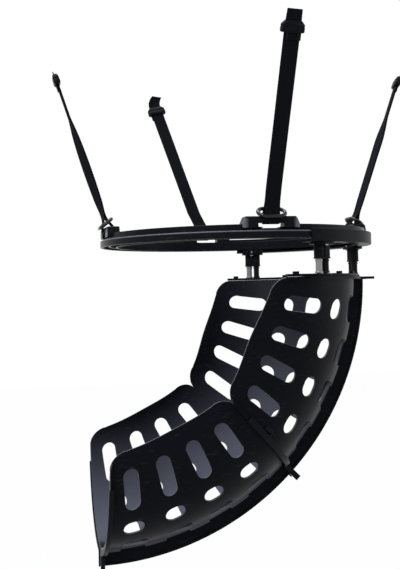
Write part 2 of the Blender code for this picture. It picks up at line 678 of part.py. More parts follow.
def section_frame(angle):
    """Give the free edge's radius and the half width of the chute at an angle along the arc."""
    place = angle / ARC_ANGLE
    return table_value(EDGE_RADIUS_SHARES, place) * FLOOR_RADIUS, table_value(HALF_WIDTH_SHARES, place) * MOUTH_HALF_WIDTH


def section_point(angle, turn):
    """Give a point of the inner wall as radius and width; the turn runs from 0 at the edge to 90 at the keel."""
    edge, half_width = section_frame(angle)
    swing = math.radians(turn)
    return Vector((edge + (FLOOR_RADIUS - edge) * math.sin(swing), half_width * math.cos(swing)))


def turn_at(angle, distance):
    """Give the turn at which the wall's length from the free edge reaches a distance."""
    turn = 0.0
    length = 0.0
    here = section_point(angle, turn)
    while length < distance:
        turn += 1.0
        after = section_point(angle, turn)
        length += (after - here).length
        here = after
    return turn - (length - distance) / (after - section_point(angle, turn - 1.0)).length if distance > 0 else 0.0


def section_turns(angle):
    """Give the turns that every row shares, from below the round corners to the flat by the keel."""
    edge, half_width = section_frame(angle)
    flat = SKIRT_FACE + PANEL_THICKNESS + FLANGE_HEIGHT + KEEL_RUNOUT
    first = math.degrees(CORNER_RADIUS * CORNER_ROW_SHARES[-1] / (FLOOR_RADIUS - edge))
    last = math.degrees(math.acos(flat / half_width))
    return [first + (last - first) * step / SECTION_STEPS for step in range(SECTION_STEPS + 1)]


def offset_points(points, distance):
    """Move a line of section points square to itself."""
    moved = []
    for index, point in enumerate(points):
        heading = (points[min(index + 1, len(points) - 1)] - points[max(index - 1, 0)]).normalized()
        moved.append(point + Vector((-heading.y, heading.x)) * distance)
    return moved


def arc_point(radius, width, angle, side):
    """Give the place of a radius and width at an angle along the chute's arc."""
    turn = math.radians(angle)
    return Vector((radius * math.cos(turn) - ARC_CENTRE_OFFSET, side * width, ARC_LEVEL - radius * math.sin(turn)))


def wall_outline(angle, cut, skirt_depth, wall):
    """Give the closed section of a panel: the inner face to the skirt's foot, then the outer face back."""
    edge, _ = section_frame(angle)
    turns = [math.degrees(cut / (FLOOR_RADIUS - edge))] + section_turns(angle)
    inner = [section_point(angle, turn) for turn in turns]
    outer = offset_points(inner, wall)
    inner.append(Vector((FLOOR_RADIUS, SKIRT_FACE)))
    inner.append(Vector((FLOOR_RADIUS + skirt_depth, SKIRT_FACE)))
    outer.append(Vector((FLOOR_RADIUS + wall, SKIRT_FACE + wall)))
    outer.append(Vector((FLOOR_RADIUS + skirt_depth, SKIRT_FACE + wall)))
    return inner + outer[::-1]


def panel_rows():
    """Give a panel's rows: the end they hang on, their distance or share, the corner's cut and the flange."""
    near = [(0.0, True), (FLANGE_THICKNESS, True), (FLANGE_THICKNESS + FLANGE_RUNOUT, False)]
    near += [(CORNER_RADIUS * share, False) for share in CORNER_ROW_SHARES]
    rows = [("start", distance, flanged) for distance, flanged in near]
    rows += [("between", step / ROW_COUNT, False) for step in range(1, ROW_COUNT)]
    rows += [("end", distance, flanged) for distance, flanged in reversed(near)]
    return rows


def corner_cut(distance):
    """Give how far the free edge draws back at a distance from a panel's end."""
    if distance >= CORNER_RADIUS:
        return 0.0
    return CORNER_RADIUS - math.sqrt(CORNER_RADIUS ** 2 - (CORNER_RADIUS - distance) ** 2)


def panel_section(start, end, row, side):
    """Place one row of a panel between its two end angles."""
    kind, value, flanged = row
    margin = CORNER_RADIUS * CORNER_ROW_SHARES[-1]
    distance = margin if kind == "between" else value
    middle = {"start": start, "end": end, "between": start + (end - start) * value}[kind]
    wall = PANEL_THICKNESS + (FLANGE_HEIGHT if flanged else 0)
    skirt = FLANGE_SKIRT_DEPTH if flanged else SKIRT_DEPTH
    points = []
    for point in wall_outline(middle, corner_cut(distance), skirt, wall):
        shift = math.degrees(distance / point.x)
        if kind == "start":
            angle = start + shift
        elif kind == "end":
            angle = end - shift
        else:
            angle = start + shift + (end - start - 2 * shift) * value
        points.append(arc_point(point.x, point.y, angle, side))
    return points


def surface_frame(angle, distance, side):
    """Give a frame on the wall: X along the section, Y along the arc, Z out of the wall."""
    turn = turn_at(angle, distance)
    here = section_point(angle, turn)
    after = section_point(angle, turn + 1.0)
    origin = arc_point(here.x, here.y, angle, side)
    along = (arc_point(after.x, after.y, angle, side) - origin).normalized()
    onward = (arc_point(here.x, here.y, angle + 1.0, side) - origin).normalized()
    out = along.cross(onward).normalized()
    onward = out.cross(along)
    frame = Matrix((along, onward, out)).transposed().to_4x4()
    frame.translation = origin
    return frame


def row_angle(start, row):
    """Give the angle of a row of openings in a panel that starts at an angle."""
    return start + FIRST_ROW_ANGLE + ROW_PITCH_ANGLE * row


def window_span(angle):
    """Give the middle and the length of a floor window along the wall."""
    points = [section_point(angle, turn) for turn in range(91)]
    end = sum((after - before).length for before, after in zip(points, points[1:])) - WINDOW_MARGIN
    return (WINDOW_START + end) / 2, end - WINDOW_START


def panel_cuts(start, side):
    """Gather the cutters of a panel's long slots, short slots and floor windows."""
    cuts = bmesh.new()
    for row in range(SLOT_ROWS):
        angle = row_angle(start, row)
        openings = [(LONG_SLOT_PLACE, LONG_SLOT_LENGTH, LONG_SLOT_WIDTH, LONG_SLOT_WIDTH / 2, 0.0),
                    (SHORT_SLOT_PLACE, SHORT_SLOT_LENGTH, SHORT_SLOT_WIDTH, SHORT_SLOT_CORNER, 0.0),
                    (*window_span(angle), WINDOW_WIDTH, WINDOW_CORNER, WINDOW_SHIFT)]
        for distance, length, width, corner, shift in openings:
            outline = [(x, y - shift) for x, y in rounded_outline(length, width, corner)]
            prism(outline, -CUT_DEPTH, CUT_DEPTH, surface_frame(angle, distance, side), cuts)
    return cuts


def notch_cuts(start, side):
    """Gather the cutters that draw a panel's skirt back under its windows."""
    cuts = bmesh.new()
    half = math.degrees(WINDOW_WIDTH / 2 / (FLOOR_RADIUS + SKIRT_DEPTH))
    low = FLOOR_RADIUS + SKIRT_DEPTH - NOTCH_DEPTH
    high = FLOOR_RADIUS + SKIRT_DEPTH + OVERRUN
    wide = SKIRT_FACE + PANEL_THICKNESS + OVERRUN
    for row in range(SLOT_ROWS):
        middle = row_angle(start, row) - math.degrees(WINDOW_SHIFT / FLOOR_RADIUS)
        sections = []
        for angle in (middle - half, middle + half):
            sections.append([arc_point(low, 0, angle, side), arc_point(high, 0, angle, side),
                             arc_point(high, wide, angle, side), arc_point(low, wide, angle, side)])
        extrude_through(sections, cuts)
    return cuts


def segments():
    """Give the chute's two segments: name, first and last angle."""
    gap = math.degrees(FIT_GAP / 2 / FLOOR_RADIUS)
    return [("upper", 0.0, JOINT_ANGLE - gap), ("lower", JOINT_ANGLE + gap, ARC_ANGLE)]


def make_panels(parent):
    """Make the four slotted panels."""
    for segment, start, end in segments():
        for side_name, side in SIDES.items():
            sections = [panel_section(start, end, row, side) for row in panel_rows()]
            name = segment + "_" + side_name + "_panel"
            panel = add_object(name, extrude_through(sections), parent, ((0.013, 0.013, 0.018), 0.42))
            combine(panel, add_cutter(name + "_slots", panel_cuts(start, side), parent), "DIFFERENCE")
            combine(panel, add_cutter(name + "_notches", notch_cuts(start, side), parent), "DIFFERENCE")


def make_keels(parent):
    """Make the two lengths of the spine."""
    for segment, start, end in segments():
        half = KEEL_THICKNESS / 2
        bead = half + KEEL_BEAD
        bead_low = KEEL_RADIUS - KEEL_BEAD_DEPTH
        outline = [(FLOOR_RADIUS, -half), (bead_low, -half), (bead_low, -bead), (KEEL_RADIUS, -bead),
                   (KEEL_RADIUS, bead), (bead_low, bead), (bead_low, half), (FLOOR_RADIUS, half)]
        sections = []
        for step in range(KEEL_STEPS + 1):
            angle = start + (end - start) * step / KEEL_STEPS
            sections.append([arc_point(radius, width, angle, 1) for radius, width in outline])
        add_object(segment + "_keel", extrude_through(sections), parent, ((0.010, 0.010, 0.013), 0.48))


def strip_path(angle, reach):
    """Give a strip's inner face as radius and width points, from the free edge's side to past the keel."""
    offset = PANEL_THICKNESS + FLANGE_HEIGHT + FIT_GAP
    inner = [section_point(angle, turn) for turn in section_turns(angle)]
    points = offset_points(inner, offset)[STRIP_SKIP:]
    points.append(Vector((FLOOR_RADIUS + offset, SKIRT_FACE + offset)))
    points.append(Vector((KEEL_RADIUS + reach, SKIRT_FACE + offset)))
    return points


def strip_section(point, out, angle, side, sizes):
    """Give a strip's channel section at a point of the flange's edge."""
    width, depth, leg, groove, shift = sizes
    marks = [(-leg, -width / 2), (depth, -width / 2), (depth, width / 2), (-leg, width / 2)]
    if leg > 0:
        marks += [(-leg, groove / 2), (0, groove / 2), (0, -groove / 2), (-leg, -groove / 2)]
    return [strip_point(point + out * outward, shift + onward, angle, side) for outward, onward in marks]


def make_strips(parent):
    """Make the strips that lock the flanges at the mouth, the joint and the exit."""
    joint_groove = 2 * (FLANGE_THICKNESS + FLANGE_RUNOUT + FIT_GAP)
    exit_groove = FLANGE_THICKNESS + FLANGE_RUNOUT + 2 * FIT_GAP
    places = [
        ("top", 0.0, TOP_STRIP_REACH, (TOP_STRIP_WIDTH, TOP_STRIP_DEPTH, 0.0, 0.0, TOP_STRIP_WIDTH / 2)),
        ("joint", JOINT_ANGLE, JOINT_STRIP_REACH,
         (JOINT_STRIP_WIDTH, JOINT_STRIP_DEPTH, STRIP_LEG, joint_groove, 0.0)),
        ("exit", ARC_ANGLE, EXIT_STRIP_REACH,
         (EXIT_STRIP_WIDTH, EXIT_STRIP_DEPTH, STRIP_LEG, exit_groove, FIT_GAP - exit_groove / 2)),
    ]
    for place, angle, reach, sizes in places:
        for side_name, side in SIDES.items():
            path = strip_path(angle, reach)
            sections = []
            for index, point in enumerate(path):
                arriving = (point - path[index - 1]).normalized() if index else (path[1] - point).normalized()
                leaving = (path[index + 1] - point).normalized() if index + 1 < len(path) else arriving
                heading = (arriving + leaving).normalized()
                out = Vector((-heading.y, heading.x)) / heading.dot(arriving)
                sections.append(strip_section(point, out, angle, side, sizes))
            add_object(place + "_lock_strip_" + side_name, extrude_through(sections), parent,
                       ((0.012, 0.012, 0.014), 0.40))


def strip_point(spot, onward, angle, side):
    """Give a strip's corner, moved square to the section by a length along the arc."""
    turn = math.radians(angle)
    heading = Vector((-math.sin(turn), 0, -math.cos(turn)))
    return arc_point(spot.x, spot.y, angle, side) + heading * onward


def make_latches(parent):
    """Make the small wedge that keeps each joint strip from backing out, sunk to the faceted wall."""
    angle = JOINT_ANGLE - math.degrees((FLANGE_THICKNESS + FLANGE_RUNOUT + LATCH_WIDTH) / FLOOR_RADIUS)
    taper_x, taper_y = LATCH_TAPER_SHARES
    for side_name, side in SIDES.items():
        frame = surface_frame(angle, LATCH_PLACE, side)
        lift = PANEL_THICKNESS + FIT_GAP - LATCH_SINK
        base = rectangle(-LATCH_LENGTH / 2, LATCH_LENGTH / 2, -LATCH_WIDTH / 2, LATCH_WIDTH / 2)
        out = -side
        low = [frame @ Vector((x, y, -out * lift)) for x, y in base]
        high = [frame @ Vector((x * taper_x, y * taper_y, -out * (lift + LATCH_HEIGHT))) for x, y in base]
        add_object("joint_latch_" + side_name, extrude_through([low, high]), parent, ((0.02, 0.02, 0.025), 0.4))


def mouth_outline(offset):
    """Give the mouth's plan at an offset outside its wall, from the front edge round to the back edge."""
    points = []
    for step in range(-MOUTH_STEPS, MOUTH_STEPS + 1):
        side = -1 if step < 0 else 1
        turn = 90 - abs(step) * COLLAR_SWEEP / MOUTH_STEPS
        here = section_point(0.0, turn)
        heading = (section_point(0.0, turn + 1.0) - here).normalized()
        moved = here + Vector((-heading.y, heading.x)) * offset
        points.append((moved.x - ARC_CENTRE_OFFSET, side * moved.y))
    return points


def make_collar(parent):
    """Make the collar plate with its ears, its tabs and the holes for the studs' spigots."""
    outer = prism(mouth_outline(PANEL_THICKNESS + FLANGE_HEIGHT), COLLAR_BOTTOM, COLLAR_TOP)
    collar = add_object("chute_collar", outer, parent, ((0.014, 0.014, 0.017), 0.42))
    ears = bmesh.new()
    holes = bmesh.new()
    for angle in STATIONS.values():
        turn = Matrix.Rotation(math.radians(angle), 4, "Z")
        reach = STATION_RADIUS + SLEEVE_DIAMETER / 2
        shape = rounded_outline(reach - MOUTH_HALF_WIDTH + EAR_ROOT, EAR_LENGTH, SLEEVE_DIAMETER / 2 - FIT_GAP)
        frame = turn @ Matrix.Translation(((reach + MOUTH_HALF_WIDTH - EAR_ROOT) / 2, 0, 0))
        prism(shape, COLLAR_BOTTOM, COLLAR_TOP, frame, ears)
        for along in (-STUD_SPACING / 2, STUD_SPACING / 2):
            place = turn @ Vector((STATION_RADIUS, along, 0))
            cylinder(SPIGOT_DIAMETER / 2 + FIT_GAP, COLLAR_BOTTOM - OVERRUN, COLLAR_TOP + OVERRUN,
                     (place.x, place.y), ROUND_STEPS, holes)
    combine(collar, add_cutter("collar_ears", ears, parent), "UNION")
    tabs = bmesh.new()
    for share in TAB_TURN_SHARES:
        for side in SIDES.values():
            turn = 90 * share
            here = section_point(0.0, turn)
            heading = (section_point(0.0, turn + 1.0) - here).normalized()
            middle = here + Vector((-heading.y, heading.x)) * (PANEL_THICKNESS + FLANGE_HEIGHT) / 2
            frame = Matrix.Translation((middle.x - ARC_CENTRE_OFFSET, side * middle.y, 0))
            frame = frame @ Matrix.Rotation(side * math.atan2(heading.y, heading.x), 4, "Z")
            shape = rectangle(-TAB_LENGTH / 2, TAB_LENGTH / 2, -FLANGE_HEIGHT / 2, FLANGE_HEIGHT / 2)
            prism(shape, COLLAR_TOP - COLLAR_THICKNESS / 2, COLLAR_TOP + TAB_HEIGHT, frame, tabs)
    combine(collar, add_cutter("collar_tabs", tabs, parent), "UNION")
    mouth = mouth_outline(0.0)
    mouth = [(mouth[0][0] - EAR_LENGTH, mouth[0][1])] + mouth + [(mouth[-1][0] - EAR_LENGTH, mouth[-1][1])]
    hole = prism(mouth, COLLAR_BOTTOM - OVERRUN, COLLAR_TOP + OVERRUN)
    combine(collar, add_cutter("collar_mouth", hole, parent), "DIFFERENCE")
    combine(collar, add_cutter("collar_holes", holes, parent), "DIFFERENCE")


def main():
    """Build the whole part."""
    clear_scene()
    level = empty("ring_level", (0, 0, -RING_DROP))
    swivel = empty("chute_swivel_axis", (0, 0, 0), parent=level)
    make_ring(level)
    for name, angle in STRAP_ANGLES.items():
        make_strap(name, angle, level)
    make_carriage(swivel)
    make_collar(swivel)
    make_panels(swivel)
    make_keels(swivel)
    make_strips(swivel)
    make_latches(swivel)
    bpy.context.view_layer.update()


main()
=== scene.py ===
"""Looks for a ball return: a ring hung on four webbing straps, with a slotted, curved chute that swivels under it."""

import functools
from math import acos, atan2, ceil, copysign, cos, degrees, dist, hypot, pi, radians, sin, sqrt, tan

import bmesh
import bpy
from bpy.props import FloatProperty, FloatVectorProperty, PointerProperty
from mathutils import Matrix, Vector


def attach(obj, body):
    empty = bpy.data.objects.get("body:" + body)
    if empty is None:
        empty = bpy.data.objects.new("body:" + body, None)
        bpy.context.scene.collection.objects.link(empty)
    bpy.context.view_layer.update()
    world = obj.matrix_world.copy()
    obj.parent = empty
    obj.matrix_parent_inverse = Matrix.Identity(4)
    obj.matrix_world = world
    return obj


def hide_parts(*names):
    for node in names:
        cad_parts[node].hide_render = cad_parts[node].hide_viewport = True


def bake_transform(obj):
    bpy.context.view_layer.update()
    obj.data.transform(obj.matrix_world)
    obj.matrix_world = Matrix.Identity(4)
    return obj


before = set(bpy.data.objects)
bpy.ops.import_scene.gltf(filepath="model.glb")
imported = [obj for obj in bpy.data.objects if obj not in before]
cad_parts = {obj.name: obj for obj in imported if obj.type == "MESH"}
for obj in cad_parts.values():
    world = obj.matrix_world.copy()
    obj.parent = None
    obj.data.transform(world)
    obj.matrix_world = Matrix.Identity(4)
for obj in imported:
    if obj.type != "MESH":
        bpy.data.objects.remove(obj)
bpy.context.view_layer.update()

bl_info = {
    "name": "Ball Return Finisher",
    "version": (1, 0, 0),
    "blender": (4, 5, 0),
    "location": "3D View > Sidebar > Ball Return",
    "description": "Dresses the solids of a ball return with moulded plastic, webbing and coated wire",
    "category": "Object",
}

# Ring, in metres and degrees, from the ring's own level.
RING_LEVEL = -0.275
RING_RADIUS = 0.230
INNER_RADIUS = 0.2005
RIM = 0.0035
RIM_TOP = 0.0045
WALL_OUTER = 0.2225
WALL_INNER = 0.2185
WALL_TOP = 0.0098
WEB_TOP = 0.0020
STUB_TOP = 0.0025
RAIL_FOOT = -0.0115
GROOVE_TOP = -0.0040
RAIL_INNER = 0.2255
RIB_MIDDLE = 0.21475
RIB_HALF = 0.0015
RAIL_ROUND = 0.0016
RING_STEPS = 192
RING_WALL_ARC = (7.0, 83.0)
RING_WALL_STEPS = 40
RING_WALL_FOOT = 0.001
RING_WALL_INSET = 0.0001
STRAP_ANGLES = {"front": 270, "right": 0, "back": 90, "left": 180}

# The ring's section, as radius and height, from its round outer corner down and round.
RING_PROFILE = (*((RING_RADIUS - RAIL_ROUND * (1 - sin(radians(turn))), -RAIL_ROUND * (1 - cos(radians(turn))))
                  for turn in (0, 22.5, 45, 67.5, 90)),
                (RING_RADIUS, -0.0030), (RING_RADIUS, RAIL_FOOT + 0.0014), (RING_RADIUS, RAIL_FOOT),
                (RAIL_INNER, RAIL_FOOT), (RAIL_INNER, GROOVE_TOP), (RIB_MIDDLE + RIB_HALF, GROOVE_TOP),
                (RIB_MIDDLE + RIB_HALF, RAIL_FOOT + 0.002), (RIB_MIDDLE - RIB_HALF, RAIL_FOOT + 0.002),
                (RIB_MIDDLE - RIB_HALF, GROOVE_TOP), (INNER_RADIUS + RIM, GROOVE_TOP),
                (INNER_RADIUS + RIM, RAIL_FOOT), (INNER_RADIUS, RAIL_FOOT), (INNER_RADIUS, RIM_TOP),
                (INNER_RADIUS + RIM, RIM_TOP), (INNER_RADIUS + RIM, WEB_TOP), (WALL_INNER, WEB_TOP),
                (WALL_INNER, STUB_TOP), (WALL_OUTER, STUB_TOP), (WALL_OUTER, 0.0))

# Shares of the edge rounding: plain, walls and lugs, slim mouldings, sleeves, strips, cut sheets and webbing.
PLAIN_EDGE = 1.0
STOUT_EDGE = 1.3
SLIM_EDGE = 0.8
SLEEVE_EDGE = 0.7
STRIP_EDGE = 0.6
SHEET_EDGE = 0.5
WEBBING_EDGE = 2 / 3

# Lug with its bridge bar; a section is its radius, the drop of its top edge and the level of its foot.
LUG_HALF = (0.0450, 0.0400)
LUG_TOP = 0.0212
LUG_SOFT = 0.0018
LUG_SECTIONS = ((0.2040, 0.0, 0.0018), (0.2188, 0.0, 0.0018), (0.2205, 0.0, 0.0036), (0.2230, 0.0, 0.0036),
                (0.2255, 0.0030, 0.0036))
WINDOW = ((0.0205, 0.0212), (0.0205, 0.0112), (0.0200, 0.0050), (0.0135, 0.0050))
BAR_PLACE = 0.21735
BAR_LEVEL = 0.0162
BAR_WIDTH = 0.0177
BAR_HEIGHT = 0.010
BAR_CORNER = 0.004
BAR_HALF_LENGTH = 0.0212
BAR_SOFT = 0.0002

# Straps. Their spots are shares of the spread and rise, their side shifts shares of the spread, and their twists
# degrees from the foot to the top. A tail bends sideways and outwards and twists.
BUCKLE_SPREAD = 0.320
BUCKLE_RISE = 0.280
SPOT_SHARES = {"front": (1.000, 1.003), "right": (0.969, 0.989), "back": (0.994, 0.996), "left": (0.933, 0.957)}
SIDE_SHARES = {"front": (0.005, 0.006, 0.031), "right": (0.0, 0.0, 0.0), "back": (0.024, 0.058, 0.228),
               "left": (0.0, 0.0, 0.0)}
TAILS = {"front": 0.0248, "right": 0.0120, "back": 0.0345, "left": 0.0120}
TWISTS = {"front": (0.0, 1.0, 2.0, 1.0, 0.0), "right": (5.0, 6.0, 6.0, 7.0, -12.0),
          "back": (0.0, 3.0, 5.0, 3.0, 0.0), "left": (19.0, 24.0, 23.0, 15.0, -4.0)}
TAIL_BENDS = {"front": (0.0010, -0.0015, 16.0), "right": (0.0, -0.0040, 20.0), "back": (-0.0215, -0.0060, 40.0),
              "left": (0.0, -0.0040, -25.0)}
MERGE_HEIGHT = 0.048
SHIFT_FOOT = 0.021
PINCH_SHARE = 0.45
PINCH_SPREAD = 0.06
LAYER_PITCH = 0.0018
LOOP_OFFSET = 0.00105
TWIST_TOP = 0.064
TWIST_START = 0.3
TWIST_RATE = 1.4
PATH_STEP = 0.005
WEBBING_STEPS = 8

# Buckles: height, depth, width and corner of the outlines, up the outside and down the slot.
BUCKLE_HEIGHT = 0.0165
BUCKLE_OUTSIDE = ((-0.00825, 0.0085, 0.0325, 0.0030), (-0.0072, 0.0104, 0.0350, 0.0036),
                  (-0.0055, 0.0110, 0.0355, 0.0036), (-0.0012, 0.0110, 0.0355, 0.0036),
                  (-0.0006, 0.0100, 0.0346, 0.0034), (0.0004, 0.0100, 0.0346, 0.0034),
                  (0.0010, 0.0108, 0.0352, 0.0036), (0.0032, 0.0104, 0.0344, 0.0036),
                  (0.0058, 0.0092, 0.0300, 0.0034), (0.0076, 0.0080, 0.0268, 0.0030),
                  (0.00825, 0.0066, 0.0258, 0.0026))
BUCKLE_SLOT = ((0.0079, 0.0045, 0.0250, 0.0010), (0.0060, 0.0039, 0.0246, 0.0008),
               (-0.0060, 0.0039, 0.0246, 0.0008), (-0.0079, 0.0045, 0.0250, 0.0010))
SEWN_TOP = 0.0022
SEWN_PITCH = 0.0010
SEWN_ROWS = 16
SEWN_DROP = 0.0060
SEWN_OUT = 0.0026
SEWN_SHIFT = 0.0010
SEWN_THICKNESS = 0.0012

# Oval rings.
OVAL_STEPS = 56
WIRE_SIDES = 14
OVAL_RISE = 0.0173
OVAL_SEAT = 0.0006
OVAL_HALF_LENGTH = 0.0240
OVAL_HALF_WIDTH = 0.0148
OVAL_TILTS = {"front": 33.0, "right": 32.0, "back": 36.6, "left": 39.0}

# Carriage and stations.
STATIONS = {"front": -66.0, "middle": 0.0, "back": 66.0}
STATION_RADIUS = 0.217
CARRIAGE_HALF_ANGLE = 74.0
CARRIAGE_STEPS = 88
CARRIAGE_PROFILE = ((0.2336, 0.0018), (0.2326, 0.0028), (0.2254, 0.0028), (0.2254, 0.0003), (0.2306, 0.0003),
                    (0.2306, -0.0143), (0.2055, -0.0143), (0.2055, -0.0175), (0.2326, -0.0175), (0.2336, -0.0165),
                    (0.2336, -0.0151), (0.2336, 0.0004))
FOOT_TOP = -0.0178
FOOT_BOTTOM = -0.0214
FOOT_WIDTH = 0.0286
FOOT_LENGTH = 0.040
FOOT_CORNER = FOOT_WIDTH / 2 - 0.002
SCREW_OFFSET = 0.0107
SCREW_HOLE = 0.0019
STUD_SPACING = 0.0140
PAIR = (-STUD_SPACING / 2, STUD_SPACING / 2)
SLEEVE = 0.0146
SLEEVE_CORNER = SLEEVE / 2 - 0.0003
SLEEVE_BOTTOM = -0.0435
SLEEVE_TOP = FOOT_BOTTOM + 0.0006
BORE = 0.00545
LIP_GROWTH = 0.0012
LIP_LOW = SLEEVE_BOTTOM + 0.0001
LIP_HIGH = SLEEVE_BOTTOM + 0.0022
RIB_LOW = SLEEVE_BOTTOM + 0.0020
RIB_HIGH = FOOT_BOTTOM + 0.0004
RIB_WIDTH_HALF = 0.0008
RIB_REACH = SLEEVE / 2 + 0.0014
STUD_TOP = -0.0238
BORE_TOP = STUD_TOP - 0.0004

# Collar, with an ear under each station and tabs on its top.
COLLAR_TOP = -0.066
COLLAR_BOTTOM = -0.070
COLLAR_SWEEP = 84.0
COLLAR_STEPS = 60
EAR_ROOTS = {"front": 0.1905, "middle": 0.2035, "back": 0.1905}
EAR_HALF = 0.017
EAR_HOLE = 0.0035
EAR_INSET = 0.0002
TAB_TURNS = (10.8, 39.6, 55.8, 75.6)
TAB_OUTLINE = ((-0.0045, -0.0034), (0.0045, -0.0034), (0.0045, 0.0034), (-0.0045, 0.0034))
TAB_SOFT = 0.001
TAB_ROOT = 0.002
TAB_RISE = 0.004

# A stud's side, as radius and height: its shoulder under the sleeve, the washer face on the collar and the spigot.
STUD_FOOT = COLLAR_TOP + 0.0003
STUD_PROFILE = ((0, STUD_TOP), (0.0048, STUD_TOP), (0.00515, STUD_TOP - 0.0004), (0.00515, SLEEVE_BOTTOM - 0.0012),
                (0.0060, SLEEVE_BOTTOM - 0.0016), (0.0060, SLEEVE_BOTTOM - 0.0036),
                (0.00515, SLEEVE_BOTTOM - 0.0042), (0.00515, STUD_FOOT + 0.0030), (0.0062, STUD_FOOT + 0.0026),
                (0.0064, STUD_FOOT + 0.0022), (0.0064, STUD_FOOT + 0.0003), (0.0062, STUD_FOOT),
                (0.0032, STUD_FOOT), (0.0032, COLLAR_BOTTOM + 0.0002), (0, COLLAR_BOTTOM))
STUD_STEPS = 32

# Chute: an arc in the XZ plane about a centre. Its edge radii and half widths are shares, from the mouth to the exit.
SIDES = {"front": -1, "back": 1}
ARC_CENTRE = -0.239
ARC_LEVEL = -0.3453
FLOOR_RADIUS = 0.440
KEEL_RADIUS = 0.472
HALF_WIDTH = 0.182
JOINT_ANGLE = 45.6
ARC_ANGLE = 90.6
EDGE_SHARES = (0.575, 0.540, 0.576, 0.571, 0.606)
WIDTH_SHARES = (1.000, 0.885, 0.813, 0.775, 0.747)
WALL = 0.0032
FLANGE_HEIGHT = 0.007
FLANGE = 0.003
FLANGE_REACH = WALL + FLANGE_HEIGHT
FLANGE_START = 0.0001
FLANGE_STEPS = 40
SKIRT_FACE = 0.0048
SKIRT_DEPTH = 0.010
SKIRT_BEND = 0.0016
SKIRT_RUN = SKIRT_DEPTH + SKIRT_BEND * (pi / 2 - 1)
FLANGE_SKIRT = 0.019
FLAT = 0.021
CORNER_RADIUS = 0.024
CORNER_STEPS = 10
WALL_STEPS = 36
ARC_STEPS = 24
SKIRT_RULE = 0.0045

# Slots: distance from the free edge, length, width, corner and shift.
SLOT_ROWS = 4
FIRST_ROW = 8.15
ROW_PITCH = 10.2
LONG_SLOT = (0.0640, 0.0700, 0.0240, 0.0120, 0.0)
SHORT_SLOT = (0.1385, 0.0280, 0.0330, 0.0130, 0.0)
WINDOW_START = 0.178
WINDOW_MARGIN = 0.0076
WINDOW_WIDTH = 0.044
WINDOW_CORNER = 0.017
WINDOW_SHIFT = 0.0045
NOTCH_DEPTH = 0.0030
NOTCH_FOOT = 0.95
KEEL_STEPS = 48
KEEL_OUTLINE = ((0.440, -0.0045), (0.4675, -0.0045), (0.4675, -0.0057), (0.472, -0.0057), (0.472, 0.0057),
                (0.4675, 0.0057), (0.4675, 0.0045), (0.440, 0.0045))
SEGMENTS = (("upper", 0.0, JOINT_ANGLE - 0.0195), ("lower", JOINT_ANGLE + 0.0195, ARC_ANGLE))

# Flat pattern of a panel: its width, the height of a radian, and the gaps under which spots are one.
PATTERN_WIDE = 0.25
PATTERN_TALL = 0.40
RULE_GAP = 0.00002
SPOT_GAP = 0.0007
SLIVER_GAP = 0.0004

# Lock strips: angle, reach past the keel, width, depth, leg, groove and shift along the arc.
STRIPS = {"top": (0.0, 0.0158, 0.0045, 0.0045, 0.0, 0.0, 0.00225),
          "joint": (JOINT_ANGLE, 0.0128, 0.0098, 0.0025, 0.0035, 0.0078, 0.0),
          "exit": (ARC_ANGLE, 0.0060, 0.0070, 0.0025, 0.0035, 0.0042, -0.0018)}
STRIP_STEPS = 36
STRIP_START = 1.05
STRIP_SKIP = 8
STRIP_GAP = 0.0003
LATCH_PLACE = 0.102
LATCH_SIZE = (0.018, 0.011, 0.006)
LATCH_GAP = 0.0006
LATCH_FOOT = WALL - 0.0004
LATCH_EDGE = 0.0012
LATCH_TOP = 0.55
LATCH_CORNER = 0.0015

# Camera, from the fit to the photograph's view.
CAMERA_PLACE = (-0.42442, -1.62266, -0.36531)
CAMERA_TURN = (77.414, 0.440, -1.461)
CAMERA_LENS = 61.378
CAMERA_SENSOR = 36.0
CAMERA_CLIP = 0.02

# Lamps: name, place and width. All point at one spot.
LAMPS = (("key", (-1.6, -1.5, 1.3), 1.5), ("top", (-0.4, 0.5, 1.7), 1.6), ("rim", (1.7, -0.5, -0.3), 1.2))
LAMP_AIM = (0, 0, -0.35)
FLOOR_HALF = 12.0

# Finishes: features per metre of the noises, and the ranges that masks are stretched from.
GRAIN_SCALE = 1500.0
FLOW_SCALE = 11.0
RUB_SCALES = (70.0, 70.0, 420.0)
RUB_RANGE = (0.60, 0.82)
EDGE_RANGE = (0.56, 0.61)
# The ranges below place painted sheen and painted light on the chute, and a painted highlight line on the ring's
# corner.
INSIDE_RANGE = (0.0005, 0.006)
OUTSIDE_RANGE = (0.0005, 0.004)
SHEEN_RANGE = (0.26, 0.40)
BELLY_RANGE = (0.412, FLOOR_RADIUS)
SKIRT_RANGE = (FLOOR_RADIUS + WALL + 0.0004, FLOOR_RADIUS + WALL + 0.0014)
LOW_RANGE = (0.44, 0.64)
CORNER_RANGE = (RING_RADIUS - 0.0018, RING_RADIUS - 0.0008)
CREST_RANGE = (RING_LEVEL - 0.0024, RING_LEVEL - 0.0010)
STITCH_PITCH = 0.0032
STITCH_SHARE = 0.34
SEAM_PLACE = 0.0085
SEAM_HALF = 0.0005
SELVEDGE = 0.0018


